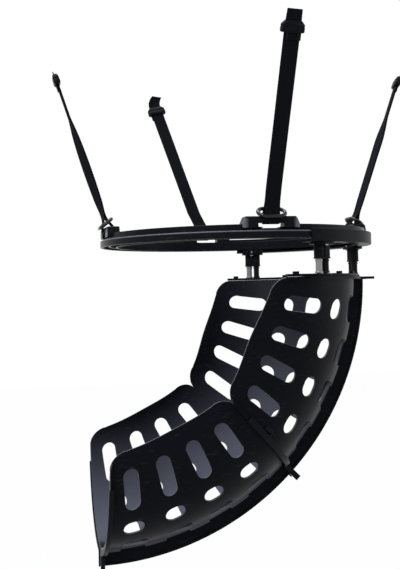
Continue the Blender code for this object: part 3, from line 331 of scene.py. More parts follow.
class Socket:
    """One output of a shader node, so that shader maths reads as plain expressions."""

    def __init__(self, finish, output):
        self.finish = finish
        self.output = output

    def maths(self, operation, *others):
        """Add a Math node whose first number is this one."""
        numbers = {index: value for index, value in enumerate((self, *others))}
        return self.finish.node("Math", {"operation": operation}, numbers)

    def __add__(self, other):
        return self.maths("ADD", other)

    def __sub__(self, other):
        return self.maths("SUBTRACT", other)

    def __rsub__(self, other):
        return self.maths("MULTIPLY", -1.0) + other

    def __mul__(self, other):
        return self.maths("MULTIPLY", other)

    def __truediv__(self, other):
        return self.maths("DIVIDE", other)

    def __mod__(self, other):
        return self.maths("FLOORED_MODULO", other)

    def __pow__(self, other):
        return self.maths("POWER", other)

    def __gt__(self, other):
        return self.maths("GREATER_THAN", other)

    def __abs__(self):
        return self.maths("ABSOLUTE")

    __radd__ = __add__
    __rmul__ = __mul__


class Finish:
    """A material under construction."""

    def __init__(self, name, tree=None):
        if tree is None:
            self.material = bpy.data.materials.new(name)
            self.material.use_nodes = True
            tree = self.material.node_tree
        self.tree = tree
        self.shader = tree.nodes.get("Principled BSDF")

    def node(self, kind, settings=None, inputs=None, output=0):
        """Add a node, set it up, feed it and give one of its outputs."""
        made = self.tree.nodes.new("ShaderNode" + kind)
        for key, value in (settings or {}).items():
            setattr(made, key, value)
        for key, value in (inputs or {}).items():
            self.feed(made.inputs[key], value)
        return Socket(self, made.outputs[output])

    def feed(self, socket, value):
        """Link a value to a socket, or set it."""
        if isinstance(value, Socket):
            self.tree.links.new(value.output, socket)
        else:
            socket.default_value = value

    def set(self, **inputs):
        """Feed the main shader's sockets, named with underscores for spaces."""
        for key, value in inputs.items():
            self.feed(self.shader.inputs[key.replace("_", " ")], value)

    def place(self):
        """Give the object's own coordinates."""
        return self.node("TexCoord", output="Object")

    def axes(self, vector):
        """Split a vector into its three numbers."""
        split = self.node("SeparateXYZ", {}, {0: vector}).output.node
        return [Socket(self, output) for output in split.outputs]

    def noise(self, scale, detail=2.0, vector=None):
        """Give noise with a number of features per metre."""
        return self.node("TexNoise", {}, {"Vector": vector or self.place(), "Scale": scale, "Detail": detail})

    def stretch(self, value, low, high):
        """Stretch a range of values to 0 and 1, and hold it there."""
        return self.node("MapRange", {"clamp": True}, {"Value": value, "From Min": low, "From Max": high})

    def blend(self, share, dark, light):
        """Blend two colours by a share."""
        dark, light = (colour if isinstance(colour, Socket) else (*colour, 1.0) for colour in (dark, light))
        return self.node("Mix", {"data_type": "RGBA"}, {0: share, 6: dark, 7: light}, 2)

    def bump(self, height, distance, strength=1.0):
        """Give a normal raised by a height between 0 and 1."""
        return self.node("Bump", {}, {"Height": height, "Distance": distance, "Strength": strength})

    def edges(self, low, high):
        """Give 1 on outer edges and 0 elsewhere: the mask of paler edges, which are mostly painted highlight and
        partly polish from handling.
        """
        return self.stretch(self.node("NewGeometry", output="Pointiness"), low, high)


def shaded(colour, share):
    """Darken or lighten a colour."""
    return [min(1.0, channel * share) for channel in colour]


def moulded_plastic(name, colour, roughness, specular, grain=0.12, edge_highlight_share=0.04, rub_and_highlight_colour=None,
                    inside=False, rim=False):
    """Moulded plastic: a fine spark-eroded grain, cloudy flow marks, faint rubs and paler edges, which are mostly
    painted highlight; the chute gets painted sheen and the ring a painted line of light.
    """
    tints = bpy.context.scene.return_tints
    rub_and_highlight_colour = rub_and_highlight_colour or tuple(tints.edge)
    finish = Finish(name)
    grain_noise = finish.noise(GRAIN_SCALE, 3.0)
    flow = finish.noise(FLOW_SCALE, 3.0)
    long_marks = finish.node("Mapping", {}, {"Vector": finish.place(), "Scale": RUB_SCALES})
    rubs = finish.stretch(finish.noise(1.0, 4.0, long_marks), *RUB_RANGE)
    shade = finish.blend(flow, shaded(colour, 0.75), shaded(colour, 1.3))
    if inside:
        shade = painted_chute_sheen(finish, shade, flow, tuple(tints.inside_sheen), rub_and_highlight_colour)
    shade = finish.blend(rubs * 0.12, shade, rub_and_highlight_colour)
    # Paler edges: mostly painted highlight, partly polish from handling.
    shade = finish.blend(finish.edges(*EDGE_RANGE) * edge_highlight_share, shade, rub_and_highlight_colour)
    if rim:
        shade = lit_corner(finish, shade, flow, rub_and_highlight_colour)
    finish.set(Base_Color=shade, Roughness=flow * 0.10 + grain_noise * 0.08 + rubs * 0.10 + (roughness - 0.09),
               Specular_IOR_Level=specular, Normal=finish.bump(grain_noise, 0.0001, grain))
    return finish.material


def painted_chute_sheen(finish, shade, flow, inside, rub_and_highlight_colour):
    """Paint sheen on the chute's inside, and paint light on the belly and the skirt outside, most of all towards the
    exit.
    """
    x, y, z = finish.axes(finish.place())
    turned = finish.node("VectorTransform", {"vector_type": "NORMAL", "convert_from": "WORLD",
                                             "convert_to": "OBJECT"},
                         {0: finish.node("NewGeometry", output="True Normal")})
    facing = y * finish.axes(turned)[1]
    ahead, below = x - ARC_CENTRE, z - ARC_LEVEL
    reach = (ahead * ahead + below * below) ** 0.5
    low = finish.stretch(z * -1.0, *LOW_RANGE)
    # Painted sheen on the chute's inside, paler further from the arc's centre and lower down.
    sheened = finish.stretch(facing * -1.0, *INSIDE_RANGE) * finish.stretch(reach, *SHEEN_RANGE) * (low * 0.80 + 0.20)
    shade = finish.blend(sheened * (flow * 0.4 + 0.6), shade, inside)
    # Painted light on the outer belly near the keel and on the skirt, lower down most of all.
    belly = finish.stretch(reach, *BELLY_RANGE) ** 2.0 * finish.stretch(facing, *OUTSIDE_RANGE)
    shade = finish.blend(belly * (low * 0.7 + 0.3) * (flow * 0.5 + 0.1), shade, rub_and_highlight_colour)
    return finish.blend(finish.stretch(reach, *SKIRT_RANGE) * low * 0.3, shade, rub_and_highlight_colour)


def lit_corner(finish, shade, flow, rub_and_highlight_colour):
    """Draw the line of light along the ring's round top corner."""
    x, y, z = finish.axes(finish.place())
    line = finish.stretch((x * x + y * y) ** 0.5, *CORNER_RANGE) * finish.stretch(z, *CREST_RANGE)
    return finish.blend(line * (flow * 0.8 + 0.3), shade, rub_and_highlight_colour)


def drawn_metal(name, colour, roughness, metallic=0.0, specular=0.5):
    """Coated or bare wire and rod: fine drawing marks, a soft patchiness and paler edges, which are painted
    highlight.
    """
    finish = Finish(name)
    marks = finish.noise(700.0, 2.0)
    patches = finish.noise(45.0, 2.0)
    shade = finish.blend(patches, shaded(colour, 0.8), shaded(colour, 1.25))
    # Paler edges: painted highlight.
    shade = finish.blend(finish.edges(0.54, 0.64) * 0.4, shade, shaded([channel + 0.02 for channel in colour], 2.0))
    finish.set(Base_Color=shade, Roughness=marks * 0.10 + (roughness - 0.05), Metallic=metallic,
               Specular_IOR_Level=specular, Normal=finish.bump(marks, 0.00005, 0.3))
    return finish.material


def woven_webbing(name, colour, stitched=False):
    """Woven webbing: rows of slanted picks that turn like a herringbone, a dense selvedge and fuzz from wear, with
    painted shade between the yarns.
    """
    finish = Finish(name)
    sizes = bpy.context.scene.return_sizes
    across, along, _ = finish.axes(finish.node("UVMap", {"uv_map": "weave"}))
    row = across / sizes.weave_row
    lane = row.maths("FLOOR")
    inside = row.maths("FRACT") - 0.5
    lean = (lane % 2.0) * 2.0 - 1.0
    pick = (along / sizes.weave_pick + inside * lean * 0.9 + lane * 0.5).maths("FRACT") - 0.5
    yarn = 1.0 - (abs(inside) * 2.0) ** 3.0
    thread = 1.0 - (abs(pick) * 2.0) ** 2.0
    fuzz = finish.noise(2600.0, 2.0)
    wear = finish.noise(24.0, 3.0)
    margin = abs(across) > sizes.webbing_width / 2 - SELVEDGE
    height = yarn * thread + margin * 0.25 + fuzz * 0.15
    # Painted shade and highlight: the weave's raised yarns are painted lighter and the gaps between them darker.
    shade = finish.blend(height * 0.8, shaded(colour, 0.45), shaded(colour, 1.4))
    shade = finish.blend(wear * 0.35, shade, shaded(colour, 2.0))
    if stitched:
        dash = abs((along / STITCH_PITCH).maths("FRACT") - 0.5) * -1.0 > -STITCH_SHARE
        line = abs(abs(across) - SEAM_PLACE) * -1.0 > -SEAM_HALF
        seam = dash * line
        height = height + seam * 1.2
        shade = finish.blend(seam * 0.8, shade, (0.035, 0.036, 0.040))
    finish.set(Base_Color=shade, Roughness=height * 0.10 + 0.70, Specular_IOR_Level=0.03, Sheen_Weight=0.0,
               Normal=finish.bump(height, 0.00025, 0.8))
    return finish.material


# Each finish: its maker, name, tint or colour, share of that tint, and the maker's settings.
RECIPES = {
    "ring_plastic": (moulded_plastic, "Ring plastic", "plastic", 1.0,
                     {"roughness": 0.28, "specular": 0.055, "grain": 0.08, "edge_highlight_share": 0.0, "rim": True}),
    "carriage_plastic": (moulded_plastic, "Carriage plastic", "plastic", 1.0,
                         {"roughness": 0.36, "specular": 0.040}),
    "chute_plastic": (moulded_plastic, "Chute plastic", "plastic", 1.0,
                      {"roughness": 0.36, "specular": 0.035, "grain": 0.14, "edge_highlight_share": 0.95, "inside": True}),
    # The panels' rims are painted paler: a painted highlight along the cut edges and slot rims.
    "chute_rim": (moulded_plastic, "Chute rim", "cut_edge", 1.0, {"roughness": 0.34, "specular": 0.06}),
    "keel_plastic": (moulded_plastic, "Keel plastic", "plastic", 0.9,
                     {"roughness": 0.46, "specular": 0.035, "grain": 0.16}),
    # The strips are painted a paler plastic, standing in for the light along their edges.
    "strip_plastic": (moulded_plastic, "Strip plastic", "plastic", 1.6,
                      {"roughness": 0.38, "specular": 0.040, "edge_highlight_share": 0.22}),
    "buckle_plastic": (moulded_plastic, "Buckle plastic", "plastic", 1.0, {"roughness": 0.40, "specular": 0.050}),
    "sleeve_plastic": (moulded_plastic, "Sleeve plastic", "plastic", 1.0, {"roughness": 0.34, "specular": 0.040}),
    "glide_plastic": (moulded_plastic, "Glide plastic", (0.62, 0.62, 0.60), 1.0,
                      {"roughness": 0.45, "specular": 0.4, "rub_and_highlight_colour": (0.75, 0.75, 0.73)}),
    "webbing": (woven_webbing, "Webbing", "webbing", 1.0, {}),
    "sewn_webbing": (woven_webbing, "Sewn webbing", "webbing", 1.0, {"stitched": True}),
    "oval_ring_metal": (drawn_metal, "Coated wire", (0.006, 0.006, 0.009), 1.0,
                        {"roughness": 0.13, "specular": 0.24}),
    "screw_steel": (drawn_metal, "Screw steel", (0.30, 0.30, 0.32), 1.0, {"roughness": 0.34, "metallic": 0.9}),
    "stud_dark": (drawn_metal, "Dark stud", (0.005, 0.005, 0.007), 1.0, {"roughness": 0.30, "specular": 0.06}),
    "stud_pale": (drawn_metal, "Pale stud", "pale_stud", 1.0, {"roughness": 0.34, "metallic": 0.35}),
}


@functools.lru_cache(maxsize=None)
def finish_for(key):
    """Give the material of one of the object's finishes, made once."""
    maker, name, colour, share, settings = RECIPES[key]
    if isinstance(colour, str):
        colour = getattr(bpy.context.scene.return_tints, colour)
    return maker(name, shaded(colour, share), **settings)


def shown(name, data):
    """Put an object into the scene."""
    made = bpy.data.objects.new(name, data)
    bpy.context.scene.collection.objects.link(made)
    return made


def meshed(name, bm):
    """Turn a bmesh into a mesh."""
    mesh = bpy.data.meshes.new(name)
    bm.to_mesh(mesh)
    bm.free()
    return mesh


def add_piece(name, bm, body, slot, replaced=(), edge=0.0, wall=0.0, wall_offset=1.0, sheet=False, finish=None,
              rim=None, smooth_angle=38):
    """Turn a bmesh into a piece of the object that rides on a body."""
    if not sheet:
        bmesh.ops.recalc_face_normals(bm, faces=bm.faces)
    mesh = meshed(name, bm)
    mesh.shade_smooth()
    mesh.set_sharp_from_angle(angle=radians(smooth_angle))
    mesh.materials.append(finish_for(finish or slot))
    piece = shown(name, mesh)
    if wall:
        skin = piece.modifiers.new("Wall", "SOLIDIFY")
        skin.thickness = wall
        skin.offset = wall_offset
        if rim:
            mesh.materials.append(finish_for(rim))
            skin.material_offset_rim = 1
    if edge:
        soft = piece.modifiers.new("Rounded edges", "BEVEL")
        soft.width = edge * bpy.context.scene.return_sizes.edge_round
        soft.segments = 2
        soft.limit_method = "ANGLE"
        soft.angle_limit = radians(smooth_angle)
        soft.use_clamp_overlap = False
        soft.material = 0 if rim else -1
        soft.harden_normals = True
    if replaced:
        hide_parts(*replaced)
    if body:
        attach(piece, body)
    return piece


def spaced(start, end, steps):
    """Give evenly spaced numbers from start to end."""
    return [start + (end - start) * step / steps for step in range(steps + 1)]


def turned_by(angle, axis="Z"):
    """Give a frame turned by an angle about an axis."""
    return Matrix.Rotation(radians(angle), 4, axis)


def laid(turned, outline, level):
    """Lay a flat outline in a frame, at a level along its third axis."""
    return [turned @ Vector((x, y, level)) for x, y in outline]


def drawn(bm, points):
    """Draw a closed loop through points, and give its corners and edges."""
    verts = [bm.verts.new(point) for point in points]
    return verts, [bm.edges.new((verts[index - 1], verts[index])) for index in range(len(verts))]


def loft(bm, loops):
    """Bridge loops of points that follow each other, and the last with the first."""
    rings = [drawn(bm, points)[1] for points in loops]
    for first, second in zip(rings, rings[1:] + rings[:1]):
        bmesh.ops.bridge_loops(bm, edges=first + second)
    return bm


def swept(bm, sections):
    """Extrude a face from section to section; each section is a list of points in the same order."""
    ring = [bm.verts.new(point) for point in sections[0]]
    cap = bm.faces.new(ring)
    for points in sections[1:]:
        grown = bmesh.ops.extrude_face_region(bm, geom=[cap, *cap.edges])["geom"]
        fresh = {tuple(item.co): item for item in grown if isinstance(item, bmesh.types.BMVert)}
        ring = [fresh[tuple(vert.co)] for vert in ring]
        cap = next(item for item in grown if isinstance(item, bmesh.types.BMFace))
        for vert, point in zip(ring, points):
            vert.co = point
    return bm


def prism(bm, outline, low, high, turned):
    """Extrude a flat outline from low to high along the third axis of a frame."""
    return swept(bm, [laid(turned, outline, level) for level in (low, high)])


def pierced(bm, outline, holes, low, high, turned):
    """Fill an outline round its holes and extrude the plate from low to high in a frame."""
    edges = []
    for loop in (outline, *holes):
        edges += drawn(bm, [(x, y, low) for x, y in loop])[1]
    filled = bmesh.ops.triangle_fill(bm, use_beauty=True, edges=edges)["geom"]
    faces = [item for item in filled if isinstance(item, bmesh.types.BMFace)]
    base = {vert for face in faces for vert in face.verts}
    geometry = faces + list({edge for face in faces for edge in face.edges})
    grown = bmesh.ops.extrude_face_region(bm, geom=geometry)["geom"]
    top = [item for item in grown if isinstance(item, bmesh.types.BMVert)]
    bmesh.ops.translate(bm, verts=top, vec=(0, 0, high - low))
    bmesh.ops.transform(bm, matrix=turned, verts=list(base.union(top)))
    return bm


def spun(profile, steps, turned, closed=False):
    """Spin a profile of radius and height once round the upright axis of a frame."""
    bm = bmesh.new()
    verts = [bm.verts.new((radius, 0, height)) for radius, height in profile]
    pairs = list(zip(verts, verts[1:])) + ([(verts[-1], verts[0])] if closed else [])
    edges = [bm.edges.new(pair) for pair in pairs]
    bmesh.ops.spin(bm, geom=verts + edges, axis=(0, 0, 1), cent=(0, 0, 0), dvec=(0, 0, 0),
                   angle=2 * pi, steps=steps, use_merge=True)
    bmesh.ops.remove_doubles(bm, verts=bm.verts, dist=0.00001)
    bmesh.ops.transform(bm, matrix=turned, verts=bm.verts)
    return bm


def rounded_outline(length, width, corner, steps=7):
    """Give the outline of a rectangle with round corners, centred on zero."""
    points = []
    for index, (sx, sy) in enumerate(((1, 1), (-1, 1), (-1, -1), (1, -1))):
        for step in range(steps + 1):
            angle = radians(90 * (index + step / steps))
            points.append((sx * (length / 2 - corner) + corner * cos(angle),
                           sy * (width / 2 - corner) + corner * sin(angle)))
    apart = corner / 50
    kept = [points[0]]
    for point in points[1:]:
        if dist(point, kept[-1]) > apart:
            kept.append(point)
    if dist(kept[0], kept[-1]) < apart:
        kept.pop()
    return kept


def softened(outline, radius, steps=3):
    """Round the corners of an outline."""
    points = []
    for index, point in enumerate(outline):
        here = Vector(point)
        before = Vector(outline[index - 1]) - here
        after = Vector(outline[(index + 1) % len(outline)]) - here
        reach = min(radius, before.length * 0.4, after.length * 0.4)
        start = here + before.normalized() * reach
        end = here + after.normalized() * reach
        for step in range(steps + 1):
            share = step / steps
            points.append(tuple(start * (1 - share) ** 2 + here * 2 * share * (1 - share) + end * share ** 2))
    return points


def circle(radius, centre, steps=24):
    """Give the outline of a circle."""
    return [(centre[0] + radius * cos(turn), centre[1] + radius * sin(turn))
            for turn in spaced(0, 2 * pi, steps)[:-1]]


def on_ring(angle, radius=0.0, height=0.0):
    """Give a frame on the ring: X outwards, Y along it, Z up."""
    return Matrix.Translation((0, 0, RING_LEVEL)) @ turned_by(angle) @ Matrix.Translation((radius, 0, height))


def ring_sweep(profile, start, end, steps):
    """Give the sections of a profile of radius and height swept round the ring's axis."""
    return [[on_ring(angle) @ Vector((radius, 0, height)) for radius, height in profile]
            for angle in spaced(start, end, steps)]


def smooth_table(shares, place):
    """Read a table smoothly at a place between 0 and 1."""
    last = len(shares) - 1
    position = min(max(place, 0.0), 1.0) * last
    index = min(int(position), last - 1)
    part = position - index
    here, after = shares[index], shares[index + 1]
    slope_here = (after - shares[index - 1]) / 2 if index > 0 else after - here
    slope_after = (shares[index + 2] - here) / 2 if index + 2 <= last else after - here
    square, cube = part ** 2, part ** 3
    return ((2 * cube - 3 * square + 1) * here + (cube - 2 * square + part) * slope_here
            + (3 * square - 2 * cube) * after + (cube - square) * slope_after)


def wall_size(angle):
    """Give the free edge's radius and the half width of the chute at an angle along its arc."""
    place = angle / ARC_ANGLE
    return smooth_table(EDGE_SHARES, place) * FLOOR_RADIUS, smooth_table(WIDTH_SHARES, place) * HALF_WIDTH


def wall_spot(angle, turn):
    """Give a point of the inner wall as radius and width; the turn runs from 0 at the edge to 90 at the keel."""
    edge, half_width = wall_size(angle)
    swing = radians(turn)
    return Vector((edge + (FLOOR_RADIUS - edge) * sin(swing), half_width * cos(swing)))


@functools.lru_cache(maxsize=None)
def wall_line(angle):
    """Give the inner wall's points from the free edge to the skirt's foot, and their distances from the edge."""
    _, half_width = wall_size(angle)
    last = degrees(acos(FLAT / half_width))
    points = [wall_spot(angle, turn) for turn in spaced(0, last, WALL_STEPS)]
    points.append(Vector((FLOOR_RADIUS, SKIRT_FACE + SKIRT_BEND)))
    for turn in (30, 60, 90):
        swing = radians(turn)
        points.append(Vector((FLOOR_RADIUS + SKIRT_BEND * (1 - cos(swing)),
                              SKIRT_FACE + SKIRT_BEND * (1 - sin(swing)))))
    points.append(Vector((FLOOR_RADIUS + SKIRT_DEPTH, SKIRT_FACE)))
    distances = [0.0]
    for before, after in zip(points, points[1:]):
        distances.append(distances[-1] + (after - before).length)
    return points, distances


def wall_length(angle):
    """Give the wall's length from its free edge to the bend of its skirt."""
    return wall_line(angle)[1][WALL_STEPS + 1]


def wall_place(angle, distance):
    """Give the radius and width at a distance along the wall from its free edge."""
    points, distances = wall_line(angle)
    index = 0
    while index < len(distances) - 2 and distances[index + 1] < distance:
        index += 1
    part = (distance - distances[index]) / (distances[index + 1] - distances[index])
    return points[index].lerp(points[index + 1], part)


def arc_point(radius, width, angle, side):
    """Give the place of a radius and width at an angle along the chute's arc."""
    turn = radians(angle)
    return Vector((radius * cos(turn) + ARC_CENTRE, side * width, ARC_LEVEL - radius * sin(turn)))


def offset_line(points, distance):
    """Move a line of section points square to itself."""
    moved = []
    for index, point in enumerate(points):
        heading = (points[min(index + 1, len(points) - 1)] - points[max(index - 1, 0)]).normalized()
        moved.append(point + Vector((-heading.y, heading.x)) * distance)
    return moved


def wall_frame(angle, distance, side):
    """Give a frame on the wall: X along the section, Y along the arc, Z out of the wall."""
    here = wall_place(angle, distance)
    after = wall_place(angle, distance + 0.002)
    origin = arc_point(here.x, here.y, angle, side)
    along = (arc_point(after.x, after.y, angle, side) - origin).normalized()
    onward = (arc_point(here.x, here.y, angle + 1.0, side) - origin).normalized()
    out = along.cross(onward).normalized() * side
    turned = Matrix((along, out.cross(along), out)).transposed().to_4x4()
    turned.translation = origin
    return turned


def strap_run(name):
    """Give a strap's outward lean and its length from the bar to the buckle's middle."""
    spread, rise = SPOT_SHARES[name]
    outward = spread * BUCKLE_SPREAD - BAR_PLACE
    upward = rise * BUCKLE_RISE - BAR_LEVEL
    return atan2(outward, upward), hypot(outward, upward)


def side_shift(name, height):
    """Give how far a strap has moved sideways at a height over its bar."""
    low, middle, high = (share * BUCKLE_SPREAD for share in SIDE_SHARES[name])
    lean, length = strap_run(name)
    if height < MERGE_HEIGHT:
        return low + (middle - low) * max(height - SHIFT_FOOT, 0) / (MERGE_HEIGHT - SHIFT_FOOT)
    return middle + (high - middle) * (height - MERGE_HEIGHT) / (length * cos(lean) - MERGE_HEIGHT)


def strap_frame(name):
    """Give the frame of a strap at the middle of its bar: X outwards, Y along the bar, Z up."""
    return on_ring(STRAP_ANGLES[name], BAR_PLACE, BAR_LEVEL)


def buckle_frame(name):
    """Give the frame of a buckle: X through the webbing, Y across it, Z up along it."""
    lean, length = strap_run(name)
    top = length * cos(lean)
    high = side_shift(name, top)
    slope = (high - side_shift(name, top / 2)) / (length / 2)
    along = Vector((sin(lean), slope, cos(lean))).normalized()
    normal = Vector((cos(lean), 0, -sin(lean)))
    turned = Matrix((normal, along.cross(normal), along)).transposed().to_4x4()
    turned.translation = (sin(lean) * length, high, cos(lean) * length)
    return strap_frame(name) @ turned @ turned_by(TWISTS[name][-1])


def strap_path(name):
    """Give the webbing's middle line, outwards and up from the bar: down one layer, round the bar and up again."""
    lean, length = strap_run(name)
    along = Vector((sin(lean), cos(lean)))
    outer = Vector((cos(lean), -sin(lean))) * (LAYER_PITCH / 2)
    merge = along * MERGE_HEIGHT / cos(lean)
    wide = BAR_WIDTH / 2 + LOOP_OFFSET
    loop = rounded_outline(2 * wide, BAR_HEIGHT + 2 * LOOP_OFFSET, BAR_CORNER + LOOP_OFFSET, 5)
    under = [Vector((-across, height)) for across, height in loop[len(loop) // 2:]]
    spread = Vector((wide * PINCH_SPREAD, 0))
    path = [along * (length + TAILS[name]) + outer, along * (length + BUCKLE_HEIGHT / 2) + outer, merge + outer,
            merge * PINCH_SHARE + spread, Vector((wide, BAR_HEIGHT / 2)), *under, Vector((-wide, BAR_HEIGHT / 2)),
            merge * PINCH_SHARE - spread, merge - outer, along * (length + BUCKLE_HEIGHT / 2) - outer]
    for _ in range(2):
        cut = [path[0]]
        for before, after in zip(path, path[1:]):
            cut += [before.lerp(after, 0.25), before.lerp(after, 0.75)]
        path = cut + [path[-1]]
    fine = [path[0]]
    for before, after in zip(path, path[1:]):
        count = max(1, ceil((after - before).length / PATH_STEP))
        fine += [before.lerp(after, step / count) for step in range(1, count + 1)]
    return fine


def strap_spot(name, point, across, on_tail):
    """Place a spot of the webbing, with the strap's twist and the bend of its loose tail."""
    lean, length = strap_run(name)
    top = length * cos(lean)
    share = min(max((point.y - MERGE_HEIGHT) / (top - TWIST_TOP - MERGE_HEIGHT), 0.0), 1.0)
    start = min(max(point.y / MERGE_HEIGHT - TWIST_START, 0.0) * TWIST_RATE, 1.0)
    twist = smooth_table(TWISTS[name], share) * start
    sideways = outward = 0.0
    free = (point.y - top - BUCKLE_HEIGHT / 2 * cos(lean)) / (TAILS[name] * cos(lean))
    if on_tail and free > 0:
        side_bend, out_bend, tail_twist = TAIL_BENDS[name]
        sideways, outward = side_bend * free ** 2, out_bend * free ** 2
        twist += tail_twist * free
    middle = tan(lean) * point.y
    turn = radians(twist)
    depth = point.x - middle
    return Vector((middle + depth * cos(turn) - across * sin(turn) + outward,
                   side_shift(name, point.y) + depth * sin(turn) + across * cos(turn) + sideways, point.y))


def ribbon(count, place):
    """Lay a grid along rows: place gives the spot of a row at a distance across the webbing."""
    width = bpy.context.scene.return_sizes.webbing_width
    lengths = [0.0]
    for row in range(1, count):
        lengths.append(lengths[-1] + (place(row, 0.0) - place(row - 1, 0.0)).length)
    bm = bmesh.new()
    bmesh.ops.create_grid(bm, x_segments=WEBBING_STEPS, y_segments=count - 1, size=0.5)
    weave = bm.loops.layers.uv.new("weave")
    rows = {vert: round((vert.co.y + 0.5) * (count - 1)) for vert in bm.verts}
    for face in bm.faces:
        for corner in face.loops:
            corner[weave].uv = (corner.vert.co.x * width, lengths[rows[corner.vert]])
    for vert in bm.verts:
        vert.co = place(rows[vert], vert.co.x * width)
    return bm


class RETURN_PG_sizes(bpy.types.PropertyGroup):
    """Sizes of the finishing touches."""
    edge_round: FloatProperty(name="Edge rounding", description="Rounding of the mouldings' edges", default=0.0006,
                              unit="LENGTH")
    wire_radius: FloatProperty(name="Wire radius", description="Radius of the oval rings' wire", default=0.0030,
                               unit="LENGTH")
    webbing_width: FloatProperty(name="Webbing width", description="Width of the straps", default=0.024,
                                 unit="LENGTH")
    webbing_thickness: FloatProperty(name="Webbing thickness", description="Thickness of one layer of the straps",
                                     default=0.0015, unit="LENGTH")
    weave_row: FloatProperty(name="Weave row", description="Width of one row of the weave", default=0.0012,
                             unit="LENGTH")
    weave_pick: FloatProperty(name="Weave pick", description="Length of one pick of the weave", default=0.0018,
                              unit="LENGTH")


class RETURN_PG_tints(bpy.types.PropertyGroup):
    """Colours of the finishes."""
    plastic: FloatVectorProperty(name="Plastic", description="Colour of the black mouldings", subtype="COLOR",
                                 default=(0.0034, 0.0037, 0.0060))
    # Edge colour: painted highlight on edges and the ring's corner, painted light on the chute's belly and skirt, and
    # real rubs.
    edge: FloatVectorProperty(name="Edges", description="Colour of highlighted edges and rubs", subtype="COLOR",
                              default=(0.150, 0.156, 0.190))
    # The chute's inside colour is painted sheen, paler where a soft lamp would gleam on it.
    inside_sheen: FloatVectorProperty(name="Sheened inside", description="Colour of the chute's worn inside",
                                 subtype="COLOR", default=(0.080, 0.086, 0.118))
    # The rims' colour is painted highlight, as if lamps lit the cut edges.
    cut_edge: FloatVectorProperty(name="Cut edges", description="Colour of the panels' rims", subtype="COLOR",
                                  default=(0.080, 0.085, 0.104))
    webbing: FloatVectorProperty(name="Webbing", description="Colour of the straps", subtype="COLOR",
                                 default=(0.0042, 0.0046, 0.0064))
    pale_stud: FloatVectorProperty(name="Pale studs", description="Colour of the two bare studs", subtype="COLOR",
                                   default=(0.20, 0.20, 0.205))


class RETURN_PG_stage(bpy.types.PropertyGroup):
    """Floor and lights."""
    floor_level: FloatProperty(name="Floor level", description="Height of the floor", default=-1.65, unit="LENGTH")
    floor_white: FloatProperty(name="Floor white", description="Share of plain white on the floor", default=0.98,
                               subtype="FACTOR")
    ambient: FloatProperty(name="Ambient", description="Strength of the light from all around", default=0.45)
    key_light: FloatProperty(name="Key light", description="Power of the lamp over the left front", default=60.0,
                             unit="POWER")
    top_light: FloatProperty(name="Top light", description="Power of the lamp overhead", default=45.0, unit="POWER")
    rim_light: FloatProperty(name="Rim light", description="Power of the lamp at the right", default=6.0,
                             unit="POWER")


class RETURN_OT_stage(bpy.types.Operator):
    """Set the floor, the white surroundings, the soft lamps and the camera"""
    bl_idname = "ball_return.stage"
    bl_label = "Stage"

    def execute(self, context):
        stage = context.scene.return_stage
        context.scene.view_settings.view_transform = "Standard"
        bm = bmesh.new()
        bmesh.ops.create_grid(bm, x_segments=1, y_segments=1, size=FLOOR_HALF)
        bmesh.ops.translate(bm, verts=bm.verts, vec=(0, 0, stage.floor_level))
        mesh = meshed("floor", bm)
        floor = shown("floor", mesh)
        finish = Finish("Floor")
        tone = finish.noise(1.5, 2.0)
        finish.set(Base_Color=finish.blend(tone, (0.78, 0.78, 0.78), (0.84, 0.84, 0.84)), Roughness=0.85)
        seen = self.seen(finish)
        white = finish.node("Emission", {}, {"Color": (1.0, 1.0, 1.0, 1.0), "Strength": 1.0})
        plain = Socket(finish, finish.shader.outputs[0])
        mixed = finish.node("MixShader", {}, {0: seen * stage.floor_white, 1: plain, 2: white})
        finish.feed(finish.tree.nodes["Material Output"].inputs["Surface"], mixed)
        mesh.materials.append(finish.material)

        world = bpy.data.worlds.new("Surroundings")
        context.scene.world = world
        world.use_nodes = True
        around = Finish("Surroundings", world.node_tree)
        soft = around.node("Background", {}, {"Color": (1.0, 1.0, 1.0, 1.0), "Strength": stage.ambient})
        bright = around.node("Background", {}, {"Color": (1.0, 1.0, 1.0, 1.0), "Strength": 1.0})
        mixed = around.node("MixShader", {}, {0: self.seen(around), 1: soft, 2: bright})
        around.feed(around.tree.nodes["World Output"].inputs["Surface"], mixed)

        for name, place, size in LAMPS:
            lamp = bpy.data.lights.new(name, "AREA")
            lamp.shape = "SQUARE"
            lamp.size = size
            lamp.energy = getattr(stage, name + "_light")
            holder = shown(name, lamp)
            holder.location = place
            aim = Vector(LAMP_AIM) - Vector(place)
            holder.rotation_euler = aim.to_track_quat("-Z", "Y").to_euler()

        yaw, pitch, roll = (radians(value) for value in CAMERA_TURN)
        ahead = Vector((cos(yaw) * cos(pitch), sin(yaw) * cos(pitch), sin(pitch)))
        right = Vector((sin(yaw), -cos(yaw), 0))
        up = right.cross(ahead)
        level = right * cos(roll) + up * sin(roll)
        upright = up * cos(roll) - right * sin(roll)
        camera = shown("camera", bpy.data.cameras.new("camera"))
        camera.data.lens = CAMERA_LENS
        camera.data.sensor_width = CAMERA_SENSOR
        camera.data.clip_start = CAMERA_CLIP
        camera.matrix_world = Matrix((level, upright, -ahead)).transposed().to_4x4()
        camera.location = CAMERA_PLACE
        context.scene.camera = camera
        return {"FINISHED"}

    @staticmethod
    def seen(finish):
        """Give 1 for what the camera, a mirror or clear plastic sees of the surroundings."""
        rays = [finish.node("LightPath", output=name) for name in ("Is Camera Ray", "Is Glossy Ray",
                                                                   "Is Transmission Ray")]
        return rays[0].maths("MAXIMUM", rays[1]).maths("MAXIMUM", rays[2])


